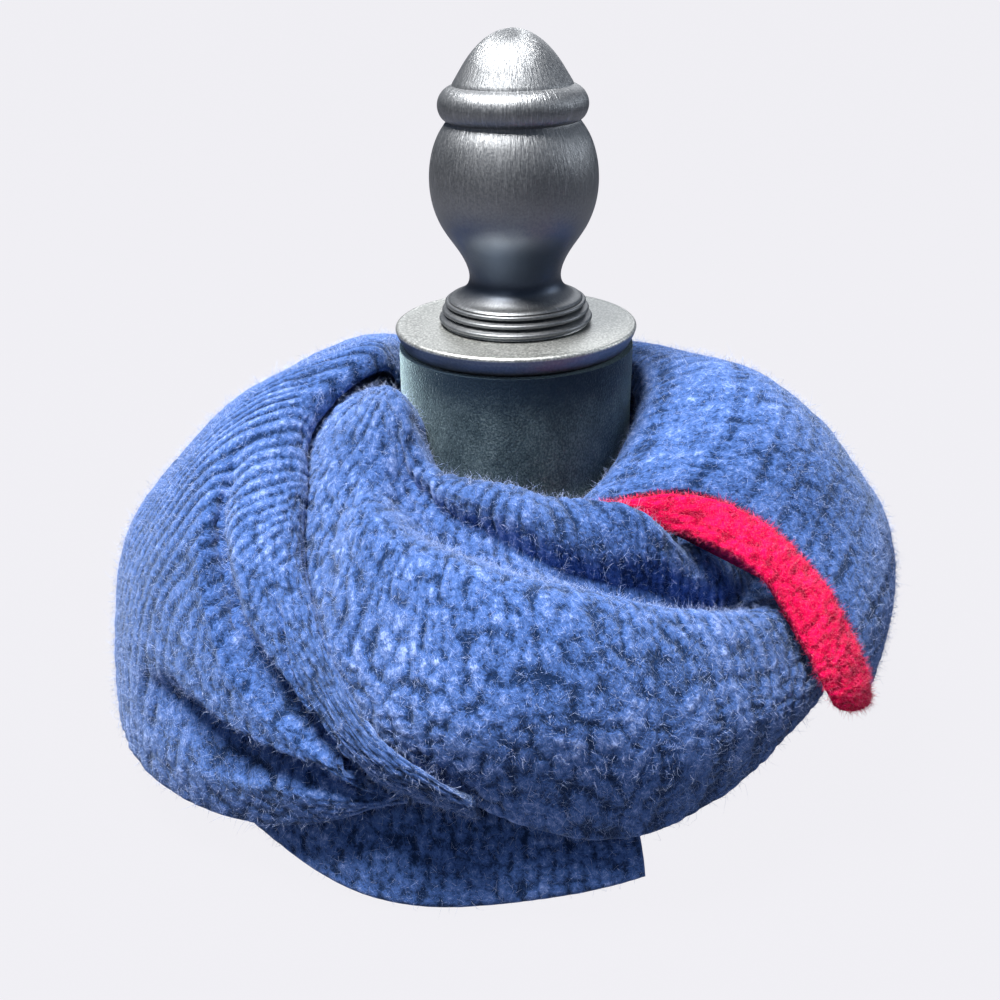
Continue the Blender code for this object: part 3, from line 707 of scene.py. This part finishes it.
def blue_stretches(finish):
    """The six blue stretches of the scarf, each with its drape and its manner of knitting."""
    seam = SEAM / 2
    outer_drape = (OUTER_FOLDS, OUTER_CREASES)
    front_drape = ((), FRONT_CREASES)
    plain = ((), ())
    right_spans = [(BAND_ANGLES[1] + BAND_SEAM, RIGHT_SHOWN_END, FINE_GRID),
                   (RIGHT_SHOWN_END, RIGHT_WRAP_END - seam, MIDDLE_GRID)]
    back_spans = [(RIGHT_WRAP_END + seam, BACK_WRAP_END - seam, BACK_GRID)]
    left_spans = [(BACK_WRAP_END + seam, LEFT_SHOWN_START, MIDDLE_GRID),
                  (LEFT_SHOWN_START, OUTER_END, FINE_GRID)]
    front_spans = [(FRONT_START, FRONT_SHOWN[0], HIDDEN_GRID),
                   (FRONT_SHOWN[0], FRONT_SHOWN[1], FINE_GRID),
                   (FRONT_SHOWN[1], FRONT_END, HIDDEN_GRID)]
    under_spans = [(UNDER_START, TAIL_START - seam, HIDDEN_GRID)]
    tail_spans = [(TAIL_START + seam, UNDER_END, MIDDLE_GRID)]
    stretches = [
        ("right_wrap_cloth", OUTER_ROWS, right_spans, FINE_GRID, plain, right_manner, OUTER_SEED),
        ("back_wrap_cloth", OUTER_ROWS, back_spans, BACK_GRID, plain, plain_manner, OUTER_SEED),
        ("left_wrap_cloth", OUTER_ROWS, left_spans, LEFT_GRID, outer_drape, left_manner, OUTER_SEED),
        ("front_wrap_cloth", FRONT_ROWS, front_spans, FINE_GRID, front_drape, front_manner, FRONT_SEED),
        ("under_wrap_cloth", UNDER_ROWS, under_spans, BACK_GRID, plain, plain_manner, UNDER_SEED),
        ("front_tail_cloth", UNDER_ROWS, tail_spans, MIDDLE_GRID, plain, plain_manner, UNDER_SEED),
    ]
    return {stretch[0]: cloth_piece(*stretch, finish) for stretch in stretches}


def band_piece(finish):
    """The crimson end band: thick, rounded, a bed of close tufts, round at its end and narrow at its tip."""
    start, end = BAND_ANGLES
    width = cloth_width(OUTER_ROWS)
    places = np.linspace(0, 1, round(width / BAND_GRID) + 1)
    share = np.linspace(0, 1, BAND_COLUMNS)
    angles = start + (end - start) * share
    points = cloth_surface(OUTER_ROWS, angles, places)
    rise = BAND_BULGE * np.sin(math.pi * share) ** 0.7 + (BAND_THICKNESS - CLOTH_THICKNESS)
    course, stitch = np.meshgrid(share * BAND_ROWS, places * width / BAND_STITCH, indexing="ij")
    lumps = 1.6 * (soft_noise(course / 2.2, stitch / 2.4, 71) - 0.5)
    points = points + outward(points) * (rise[:, None] + lumps)[:, :, None]
    end_share = np.clip(1 - (1 - places) / BAND_ROUND_END, 0, 1)
    tip_share = np.clip(1 - places / BAND_NARROW_TIP, 0, 1)
    narrow = np.sqrt(1 - 0.94 * end_share**2) * (1 - 0.45 * tip_share)
    middle = points[BAND_COLUMNS // 2]
    points = middle + (points - middle) * narrow[None, :, None]
    heights = knit_height(course, stitch, 0.0 * course, BAND_SEED)
    along, across = np.meshgrid(share * BAND_ROWS * ROW_PITCH, places * width, indexing="ij")
    uv = np.stack([along, across], axis=2) * MM
    piece, stretch = cloth_shell(
        "end_band_cloth", points, heights, BAND_THICKNESS, uv, finish)
    return piece, stretch


def fibre_roots(stretches, count, rng):
    """Random places on the stretches, by area and density, with the normal and two directions."""
    shares = np.array([stretch_area(stretch) * density for stretch, density in stretches])
    shares = shares / shares.sum()
    found = []
    for (stretch, density), share in zip(stretches, shares):
        area = cell_areas(stretch.points)
        cells = rng.choice(area.size, size=round(count * share), p=(area / area.sum()).ravel())
        i, j = np.unravel_index(cells, area.shape)
        side = stretch.points[i + 1, j] - stretch.points[i, j]
        side = side / np.linalg.norm(side, axis=1, keepdims=True)
        found.append(np.stack([stretch.points[i, j], stretch.normals[i, j], side]))
    root, normal, side = np.concatenate(found, axis=1)
    return root, normal, side, np.cross(normal, side)


def nap(name, stretches, row, finish):
    """Loose fibres: closed three-sided spikes that stand out of the knitting.

    A fibre's root is a random point of the cloth, its length and lean are random, and it ends in a
    point. A curved one also has a smaller triangle half way along, pushed aside.
    """
    rng = np.random.default_rng(row.seed)
    root, normal, side, cross = fibre_roots(stretches, row.count, rng)
    total = len(root)
    turn = rng.uniform(0, 2 * math.pi, total)[:, None]
    lean = rng.uniform(row.least_lean, row.most_lean, total)[:, None]
    direction = normal + lean * (np.cos(turn) * side + np.sin(turn) * cross)
    direction = direction / np.linalg.norm(direction, axis=1, keepdims=True)
    length = rng.uniform(row.shortest, row.longest, total)[:, None]
    bend = rng.normal(0, 0.26, (total, 3)) * length
    tip = root + direction * length * 0.92 + bend
    broad = np.cross(direction, rng.normal(size=(total, 3)))
    broad = broad / np.linalg.norm(broad, axis=1, keepdims=True)
    other = np.cross(direction, broad)
    centres = [(root - normal * 0.5, row.width / 2)]
    pattern = [(0, 2, 1), (0, 1, 3), (1, 2, 3), (2, 0, 3)]
    if row.curved:
        middle = root + direction * length * 0.5 - bend * 0.4
        centres.append((middle, row.width / 2.6))
        pattern = [(0, 2, 1), (0, 1, 4), (0, 4, 3), (1, 2, 5), (1, 5, 4), (2, 0, 3), (2, 3, 5),
                   (3, 4, 6), (4, 5, 6), (5, 3, 6)]
    points = []
    for centre, radius in centres:
        for corner in range(3):
            angle = 2 * math.pi * corner / 3
            points.append(centre + radius * (math.cos(angle) * broad + math.sin(angle) * other))
    points.append(tip)
    vertices = np.stack(points, axis=1).reshape(-1, 3)
    faces = np.array(pattern)[None, :, :] + len(points) * np.arange(total)[:, None, None]
    mesh = polygon_mesh(name, vertices, faces.ravel(), np.arange(0, faces.size, 3))
    return add_piece(name, mesh, finish)


def cell_areas(points):
    along = points[1:, :-1] - points[:-1, :-1]
    across = points[:-1, 1:] - points[:-1, :-1]
    return np.linalg.norm(np.cross(along, across), axis=2)


def stretch_area(stretch):
    return cell_areas(stretch.points).sum()


def smooth_profile(points, step):
    """A natural cubic spline through (radius, height) points, read about every step millimetres."""
    points = np.array(points, float)
    chords = np.concatenate([[0], np.cumsum(np.linalg.norm(np.diff(points, axis=0), axis=1))])
    wanted = np.linspace(0, chords[-1], max(3, round(chords[-1] / step)))
    return smooth_line(chords, points, wanted)


def arc(centre_r, centre_z, radius, start, end, count):
    """Points of an arc between two angles in degrees, 0 pointing outwards and 90 up."""
    turn = np.radians(np.linspace(start, end, count))
    return np.stack([centre_r + radius * np.cos(turn), centre_z + radius * np.sin(turn)], axis=1)


def turned_quads(count):
    """The vertex numbers of a turned grid with count points down, a row to a step, and its quads."""
    index = np.arange(TURNED_STEPS * count).reshape(TURNED_STEPS, count)
    after = np.roll(index, -1, axis=0)
    quads = np.stack([index[:, :-1], index[:, 1:], after[:, 1:], after[:, :-1]], axis=-1)
    return index, quads.reshape(-1, 4)


def turned_piece(name, runs, top, bottom, finish):
    """A turned piece: profile runs of (radius, height) down its outer side, closed on the axis.

    The point at column i and profile point j is the profile's radius turned by i equal steps, and
    the whole is tilted about the middle of the neck's top. Its UV is turns round and metres down.
    """
    profile = np.concatenate(runs)
    turn = np.linspace(0, 2 * math.pi, TURNED_STEPS + 1)[:-1]
    across = profile[:, 0]
    grid = np.stack([across * np.cos(turn)[:, None], across * np.sin(turn)[:, None],
                     np.broadcast_to(profile[:, 1], (len(turn), len(profile)))], axis=2)
    count = len(profile)
    body = grid.reshape(-1, 3)
    points = tilted(np.concatenate([body, [(0, 0, top), (0, 0, bottom)]]))
    index, quads = turned_quads(count)
    top_point, bottom_point = len(body), len(body) + 1
    rim, foot = index[:, 0], index[:, -1]
    upper = np.stack([np.full(TURNED_STEPS, top_point), rim, np.roll(rim, -1)], axis=1)
    lower = np.stack([np.full(TURNED_STEPS, bottom_point), np.roll(foot, -1), foot], axis=1)
    length = np.concatenate([[0], np.cumsum(np.linalg.norm(np.diff(profile, axis=0), axis=1))])
    corners = np.concatenate([quads.ravel(), upper.ravel(), lower.ravel()])
    starts = np.concatenate([np.arange(0, quads.size, 4), quads.size + np.arange(0, upper.size * 2, 3)])
    step = np.arange(TURNED_STEPS)
    low_turn = np.repeat(step, count - 1)
    down = np.tile(np.arange(count - 1), TURNED_STEPS)
    columns = np.stack([low_turn, low_turn, low_turn + 1, low_turn + 1], axis=1).ravel()
    depths = length[np.stack([down, down + 1, down + 1, down], axis=1)].ravel()
    fan = np.stack([step + 0.5, step, step + 1], axis=1).ravel()
    fan_low = np.stack([step + 0.5, step + 1, step], axis=1).ravel()
    fan_depth = np.tile([-across[0], 0, 0], TURNED_STEPS)
    fan_low_depth = np.tile([length[-1] + across[-1], length[-1], length[-1]], TURNED_STEPS)
    u = np.concatenate([columns, fan, fan_low]) / TURNED_STEPS
    v = np.concatenate([depths, fan_depth, fan_low_depth]) * MM
    mesh = polygon_mesh(name, points, corners, starts, np.stack([u, v], axis=1))
    mesh.set_sharp_from_angle(angle=math.radians(40))
    return add_piece(name, mesh, finish)


def tilted(points):
    """The cap's lean: a turn about the front-to-back line through the middle of the neck's top."""
    lean = math.radians(CAP_TILT)
    rise = points[:, 2] - (CAP_TOP_HEIGHT - CAP_THICKNESS)
    across = points[:, 0] * math.cos(lean) - rise * math.sin(lean)
    up = points[:, 0] * math.sin(lean) + rise * math.cos(lean)
    return np.stack([across, points[:, 1], up + CAP_TOP_HEIGHT - CAP_THICKNESS], axis=1)


# The stepped collar on the cap: each step's radius, top height above the cap and edge rounding.
Step = namedtuple("Step", "radius top edge")
COLLAR_STEPS = [Step(33.4, 11.6, 1.0), Step(34.9, 8.0, 1.0), Step(36.4, 4.0, 1.0)]

# The finial's outline above the cap's top, in runs that meet at its grooves: the egg-shaped dome,
# the ring, and the vase down to its wide foot.
DOME = [(1.2, 132.45), (5.4, 131.6), (10.6, 129.2), (14.8, 126.1), (18.2, 122.6), (21.2, 118.8),
        (23.8, 114.8), (25.8, 111.6), (26.9, 109.8)]
RING = [(27.2, 108.9), (30.0, 107.6), (32.6, 105.0), (34.0, 101.0), (33.4, 97.2), (31.6, 94.5),
        (30.3, 93.6)]
VASE = [(30.5, 93.0), (33.6, 88.5), (37.0, 80.5), (FINIAL_RADIUS, 69.0), (37.8, 57.5), (33.4, 46.0),
        (26.4, 35.5), (22.6, 28.0), (21.7, 21.0), (23.2, 17.6), (25.4, 15.6), (29.0, 13.4),
        (31.4, 12.5), (31.8, 12.0)]
DOME_TOP = 132.5

# How far the plate's middle rises over its edge, and the radius of its rounded rim.
PLATE_CROWN = 0.4
PLATE_RIM = 1.5


def neck_cap(finish):
    """The cap plate, the stepped collar and the finial."""
    top = CAP_TOP_HEIGHT
    bottom = top - CAP_THICKNESS
    rim = PLATE_RIM
    plate = [np.array([(8, top + 0.38), (20, top + 0.3), (38, top + 0.2), (50, top), (53.2, top - 0.2)]),
             arc(CAP_RADIUS - rim, top - rim, rim, 120, -35, 12),
             np.array([(57.0, top - 3.3), (56.6, top - 4.2), (54.4, bottom + 1.6), (53.4, bottom + 0.5)]),
             np.array([(52.6, bottom)])]
    pieces = [turned_piece("cap_plate_metal", plate, top + PLATE_CROWN, bottom, finish)]

    collar = [np.array([(28.0, top + COLLAR_STEPS[0].top)])]
    for step in COLLAR_STEPS:
        middle = top + step.top - step.edge
        collar.append(arc(step.radius - step.edge, middle, step.edge, 90, -50, 8))
        collar.append(np.array([(step.radius - step.edge - 0.9, middle - 1.5)]))
    base = top + PLATE_CROWN + FACE_GAP
    collar.append(np.array([(COLLAR_STEPS[-1].radius - 1.6, base)]))
    collar_top = top + COLLAR_STEPS[0].top
    pieces.append(turned_piece("cap_collar_metal", collar, collar_top, base, finish))

    foot = collar_top + FACE_GAP
    runs = [smooth_profile(run, 0.9) + (0, top) for run in (DOME, RING, VASE)]
    runs.append(np.array([(31.5, foot)]))
    pieces.append(turned_piece("finial_metal", runs, top + DOME_TOP, foot, finish))
    return pieces


def form_cover(finish):
    """The form's cloth-covered shoulders and neck: ellipses through the rows, closed at both ends."""
    widths = np.array([row[1:] for row in FORM_ROWS], float)
    heights = np.array([row.height for row in FORM_ROWS], float)
    levels = np.linspace(heights[-1], 0, FORM_LEVELS)
    sizes = smooth_line(heights, widths, levels)
    turn = np.linspace(0, 2 * math.pi, TURNED_STEPS, endpoint=False)[:, None]
    across = sizes[:, 0] * np.cos(turn)
    deep = sizes[:, 1] * np.sin(turn) + sizes[:, 2]
    rise = math.tan(math.radians(CAP_TILT)) * np.clip((levels - NECK_LEAN_FROM) / NECK_LEAN_OVER, 0, 1)
    points = np.stack([across, deep, levels + rise * across], axis=2)
    count = len(levels)
    index, quads = turned_quads(count)
    corners = np.concatenate([quads.ravel(), index[:, 0], index[::-1, -1]])
    starts = np.concatenate([np.arange(0, quads.size, 4), [quads.size, quads.size + TURNED_STEPS]])
    mesh = polygon_mesh("form_cover", points.reshape(-1, 3), corners, starts)
    mesh.set_sharp_from_angle(angle=math.radians(50))
    return add_piece("form_cover", mesh, finish)


class NodeBoard:
    """A few short calls to build a node tree."""

    def __init__(self, tree):
        self.tree = tree
        tree.nodes.clear()

    def node(self, kind, inputs=None, **options):
        made = self.tree.nodes.new("ShaderNode" + kind)
        for name, value in options.items():
            setattr(made, name, value)
        for name, value in (inputs or {}).items():
            if isinstance(value, bpy.types.NodeSocket):
                self.wire(made, name, value)
            else:
                made.inputs[name].default_value = value
        return made

    def wire(self, node, name, value):
        self.tree.links.new(value, node.inputs[name])

    def math(self, operation, first, second):
        return self.node("Math", {0: first, 1: second}, operation=operation).outputs[0]

    def blend(self, share, first, second):
        """A colour mixed from first to second by a share from 0 to 1."""
        mixed = self.node("Mix", {0: share, 6: first, 7: second}, data_type="RGBA")
        return mixed.outputs[2]

    def ease(self, value, low, high):
        """Value eased to run from 0 at low to 1 at high."""
        inputs = {"Value": value, "From Min": low, "From Max": high}
        return self.node("MapRange", inputs, interpolation_type="SMOOTHSTEP").outputs[0]

    def grain(self, vector, scale, turn=0.0, detail=2.0, roughness=0.6):
        """Noise over a vector that is turned and stretched first."""
        sizes = tuple(1 / value for value in scale)
        placed = self.node("Mapping", {"Vector": vector, "Rotation": (0, 0, turn), "Scale": sizes},
                           vector_type="TEXTURE")
        inputs = {"Vector": placed.outputs[0], "Scale": 1.0, "Detail": detail, "Roughness": roughness}
        return self.node("TexNoise", inputs).outputs[0]


def group(name, ins, outs):
    """An empty node group with named colour inputs and named outputs, and its board."""
    tree = bpy.data.node_groups.new(name, "ShaderNodeTree")
    board = NodeBoard(tree)
    for label, value in ins.items():
        made = tree.interface.new_socket(label, in_out="INPUT", socket_type="NodeSocketColor")
        made.default_value = value
    for label, kind in outs.items():
        tree.interface.new_socket(label, in_out="OUTPUT", socket_type=kind)
    return tree, board, tree.nodes.new("NodeGroupInput")


def brushed_knit():
    """Brushed wool over raised knitting: painted shade between the stitches, and a painted highlight that
    makes their fuzzy tops pale.
    """
    ins = {"Gap shade": (0, 0, 0, 1), "Yarn": (0, 0, 0, 1), "Tip highlight": (0, 0, 0, 1)}
    outs = {"Color": "NodeSocketColor", "Height": "NodeSocketFloat"}
    tree, board, given = group("brushed_knit", ins, outs)
    surface = board.node("UVMap").outputs[0]
    place = board.node("TexCoord").outputs["Object"]
    relief = board.node("Attribute", attribute_name="relief").outputs["Fac"]
    hairs = board.grain(surface, (1500, 330, 1), 0.7)
    for turn in (-0.55, 1.9, 2.8):
        hairs = board.math("MAXIMUM", hairs, board.grain(surface, (1500, 330, 1), turn))
    specks = board.grain(place, (420, 420, 420), detail=3.0)
    patches = board.grain(place, (38, 38, 38), detail=2.0)
    hairs = board.math("SUBTRACT", hairs, 0.62)
    level = board.math("ADD", relief, board.math("MULTIPLY", hairs, 1.6))
    level = board.math("ADD", level, board.math("MULTIPLY", board.math("SUBTRACT", specks, 0.5), 1.2))
    level = board.math("ADD", level, board.math("MULTIPLY", board.math("SUBTRACT", patches, 0.5), 0.45))
    # Painted shade where the relief is low, between the stitches; painted highlight where the relief and the
    # hairs are high.
    body = board.blend(board.ease(level, 0.1, 0.75), given.outputs["Gap shade"], given.outputs["Yarn"])
    colour = board.blend(board.ease(level, 0.65, 1.35), body, given.outputs["Tip highlight"])
    height = board.math("ADD", hairs, board.math("MULTIPLY", specks, 0.9))
    end = tree.nodes.new("NodeGroupOutput")
    board.wire(end, "Color", colour)
    board.wire(end, "Height", height)
    return tree


def finish_material(name):
    made = bpy.data.materials.new(name)
    made.use_nodes = True
    board = NodeBoard(made.node_tree)
    shader = board.node("BsdfPrincipled")
    end = board.node("OutputMaterial")
    board.wire(end, "Surface", shader.outputs[0])
    return made, board, shader


def settings(shader, **values):
    """Set a shader's inputs by their names, with underscores for spaces."""
    for name, value in values.items():
        shader.inputs[name.replace("_", " ")].default_value = value


def knit_material(name, knit, wool_colours, sheen, sheen_tint, bump):
    made, board, shader = finish_material(name)
    wool = board.node("Group", node_tree=knit)
    for label, colour in zip(("Gap shade", "Yarn", "Tip highlight"), wool_colours):
        wool.inputs[label].default_value = (*colour, 1)
    rough = board.node("Bump", {"Height": wool.outputs["Height"], "Distance": bump, "Strength": 1.0})
    board.wire(shader, "Base Color", wool.outputs["Color"])
    board.wire(shader, "Normal", rough.outputs[0])
    settings(shader, Roughness=0.95, Sheen_Weight=sheen, Sheen_Roughness=0.5)
    settings(shader, Sheen_Tint=(*sheen_tint, 1), Specular_IOR_Level=0.1)
    return made


def fibre_material(name, colour, tip):
    made, board, shader = finish_material(name)
    place = board.node("TexCoord").outputs["Object"]
    tone = board.ease(board.grain(place, (260, 260, 260)), 0.3, 0.7)
    board.wire(shader, "Base Color", board.blend(tone, (*colour, 1), (*tip, 1)))
    settings(shader, Roughness=0.8, Sheen_Weight=0.3, Specular_IOR_Level=0.2)
    return made


def form_cloth_material():
    """Short-pile cloth, dark grey-green, mottled by its pile, with painted shade just under the plate."""
    made, board, shader = finish_material("form_pile")
    place = board.node("TexCoord").outputs["Object"]
    brushed = board.ease(board.grain(place, (55, 55, 40), detail=4.0, roughness=0.7), 0.35, 0.7)
    pile = board.grain(place, (1300, 1300, 900), detail=2.0)
    specks = board.ease(pile, 0.35, 0.75)
    low = board.blend(brushed, (0.018, 0.032, 0.042, 1), (0.045, 0.070, 0.082, 1))
    high = board.blend(brushed, (0.06, 0.09, 0.105, 1), (0.13, 0.175, 0.19, 1))
    height = board.node("SeparateXYZ", {0: place}).outputs["Z"]
    # Painted shade: the pile is darkened just under the plate, where the plate shades it.
    neck_top = (CAP_TOP_HEIGHT - CAP_THICKNESS) * MM
    painted_plate_shade = board.ease(height, neck_top - 0.026, neck_top - 0.004)
    colour = board.blend(board.math("MULTIPLY", painted_plate_shade, 0.85), board.blend(specks, low, high),
                         (0.002, 0.012, 0.03, 1))
    board.wire(shader, "Base Color", colour)
    rough = board.node("Bump", {"Height": pile, "Distance": 0.0006, "Strength": 0.9})
    board.wire(shader, "Normal", rough.outputs[0])
    settings(shader, Roughness=0.9, Sheen_Weight=0.8, Sheen_Roughness=0.3)
    settings(shader, Sheen_Tint=(0.55, 0.75, 0.8, 1), Specular_IOR_Level=0.2)
    return made


def cap_metal_material():
    """Turned pewter: a speckled plate top made pale by a painted reflection, grain streaks painted silver as
    a highlight high on the finial and at its foot, and painted shade of dark slate low on the vase.
    """
    made, board, shader = finish_material("turned_pewter")
    surface = board.node("UVMap").outputs[0]
    place = board.node("TexCoord").outputs["Object"]
    spread = board.node("SeparateXYZ", {0: place})
    tilt = board.math("MULTIPLY", spread.outputs["X"], math.tan(math.radians(CAP_TILT)))
    height = board.math("SUBTRACT", spread.outputs["Z"], tilt)
    streaks = board.grain(surface, (190, 90, 1), detail=3.0, roughness=0.65)
    fine = board.grain(surface, (420, 200, 1), detail=2.0)
    speckle = board.grain(place, (900, 900, 900), detail=3.0)
    top = CAP_TOP_HEIGHT * MM
    upper = board.ease(height, top + 0.052, top + 0.082)
    flat_top = board.math("MULTIPLY", board.ease(height, top - 0.0022, top - 0.0012),
                          board.ease(height, top + 0.0012, top + 0.0006))
    foot = board.math("MULTIPLY", board.ease(height, top + 0.0105, top + 0.0120),
                      board.ease(height, top + 0.0165, top + 0.0135))
    # Painted highlight: the streaky grain is painted silver high on the finial and at its foot.
    grain_painted_as_highlight = board.ease(board.math("ADD", streaks, board.math("MULTIPLY", fine, 0.35)), 0.68, 0.98)
    grain_painted_as_highlight = board.math("MULTIPLY", grain_painted_as_highlight, board.math("MAXIMUM", upper, foot))
    grain_painted_as_highlight = board.math("MULTIPLY", grain_painted_as_highlight, 0.3)
    dull = board.blend(board.ease(speckle, 0.3, 0.7), (0.15, 0.158, 0.168, 1), (0.21, 0.217, 0.225, 1))
    # Painted shade: the lower vase, under its bulge, is painted a darker blue-grey slate.
    low_vase_painted_shade = board.math("MULTIPLY", board.ease(height, top + 0.062, top + 0.036),
                          board.ease(height, top + 0.013, top + 0.020))
    dull = board.blend(low_vase_painted_shade, dull, (0.05, 0.064, 0.09, 1))
    # Painted reflection: the plate's flat top is painted paler than the rest of the pewter; its speckle is
    # the finish.
    satin_with_painted_reflection = board.blend(board.ease(speckle, 0.35, 0.7), (0.3, 0.31, 0.3, 1), (0.6, 0.61, 0.59, 1))
    colour = board.blend(flat_top, dull, satin_with_painted_reflection)
    colour = board.blend(grain_painted_as_highlight, colour, (0.78, 0.79, 0.8, 1))
    board.wire(shader, "Base Color", colour)
    roughness = board.math("ADD", 0.32, board.math("MULTIPLY", speckle, 0.26))
    board.wire(shader, "Roughness", roughness)
    grain = board.math("MULTIPLY", board.math("ADD", streaks, board.math("MULTIPLY", fine, 0.5)), upper)
    grain = board.math("ADD", grain, board.math("MULTIPLY", speckle, 0.12))
    rough = board.node("Bump", {"Height": grain, "Distance": 0.0005, "Strength": 0.8})
    board.wire(shader, "Normal", rough.outputs[0])
    settings(shader, Metallic=0.93)
    return made


def floor_material():
    """A pale backdrop that shows the photo's even near-white, with a trace of shading."""
    made = bpy.data.materials.new("pale_floor")
    made.use_nodes = True
    board = NodeBoard(made.node_tree)
    matt = board.node("BsdfDiffuse", {"Color": (*FLOOR_COLOUR, 1)})
    glow = board.node("Emission", {"Color": (*BACKDROP_COLOUR, 1), "Strength": 1.0})
    seen = board.math("MULTIPLY", board.node("LightPath").outputs["Is Camera Ray"], BACKDROP_SHARE)
    mixed = board.node("MixShader", {0: seen, 1: matt.outputs[0], 2: glow.outputs[0]})
    end = board.node("OutputMaterial")
    board.wire(end, "Surface", mixed.outputs[0])
    return made


def studio():
    """A pale floor, a strong lamp above, three weak ones around and a surround that darkens below."""
    half = FLOOR_HALF
    mesh = bpy.data.meshes.new("floor")
    corners = [(-half, -half, 0), (half, -half, 0), (half, half, 0), (-half, half, 0)]
    mesh.from_pydata(corners, [], [(0, 1, 2, 3)])
    floor = bpy.data.objects.new("floor", mesh)
    bpy.context.scene.collection.objects.link(floor)
    mesh.materials.append(floor_material())
    for name, place, aim, size, power, colour in LAMPS:
        light = bpy.data.lights.new(name, "AREA")
        light.shape = "DISK"
        light.size = size
        light.energy = power
        light.color = colour
        lamp = bpy.data.objects.new(name, light)
        bpy.context.scene.collection.objects.link(lamp)
        lamp.location = place
        direction = np.array(aim) - np.array(place)
        flat = math.hypot(direction[0], direction[1])
        lamp.rotation_euler = (math.atan2(flat, -direction[2]), 0, math.atan2(-direction[0], direction[1]))
    world = bpy.data.worlds.new("surround")
    bpy.context.scene.world = world
    world.use_nodes = True
    board = NodeBoard(world.node_tree)
    place = board.node("SeparateXYZ", {0: board.node("TexCoord").outputs["Generated"]})
    up = board.ease(place.outputs["Z"], -0.25, 0.9)
    colour = board.blend(up, (*LOW_SKY, 1), (*HIGH_SKY, 1))
    background = board.node("Background", {"Color": colour, "Strength": 1.0})
    end = board.node("OutputWorld")
    board.wire(end, "Surface", background.outputs[0])


def photo_camera():
    """The photo's camera, and the plain view transform that keeps its full red and blue."""
    data = bpy.data.cameras.new("camera")
    data.sensor_width = 36.0
    data.lens = CAMERA_LENS
    camera = bpy.data.objects.new("camera", data)
    bpy.context.scene.collection.objects.link(camera)
    camera.location = CAMERA_PLACE
    camera.rotation_euler = (math.radians(90 - CAMERA_DOWN), 0, 0)
    bpy.context.scene.camera = camera
    bpy.context.scene.view_settings.view_transform = "Standard"


def dress():
    knit = brushed_knit()
    blue = knit_material("blue_wool", knit, BLUE_WOOL, 0.3, (0.55, 0.7, 1.0), WOOL_BUMP)
    red = knit_material("crimson_wool", knit, RED_WOOL, 0.1, (1.0, 0.2, 0.4), WOOL_BUMP)
    found = blue_stretches(blue)
    band, band_stretch = band_piece(red)
    pieces = [piece for piece, stretch in found.values()] + [band]
    density = {"right_wrap_cloth": 1.0, "back_wrap_cloth": 0.4, "left_wrap_cloth": 1.0,
               "front_wrap_cloth": 1.2, "under_wrap_cloth": 0.1, "front_tail_cloth": 0.8}
    shares = [(found[name][1], share) for name, share in density.items()]
    soft = fibre_material("blue_fuzz", (0.08, 0.15, 0.37), (0.36, 0.46, 0.78))
    pale = fibre_material("blue_fibre", (0.16, 0.26, 0.55), (0.5, 0.6, 0.9))
    pink = fibre_material("crimson_fuzz", (0.74, 0.001, 0.065), (0.85, 0.025, 0.16))
    pieces.append(nap("blue_fuzz", shares, BLUE_FUZZ, soft))
    pieces.append(nap("blue_hairs", shares, BLUE_HAIRS, pale))
    pieces.append(nap("crimson_fuzz", [(band_stretch, 1.0)], RED_FUZZ, pink))
    pieces.append(form_cover(form_cloth_material()))
    pieces += neck_cap(cap_metal_material())
    for piece in pieces:
        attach(piece, "root")
        if piece.name in REPLACED:
            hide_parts(REPLACED[piece.name])


def main():
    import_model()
    photo_camera()
    studio()
    dress()


main()
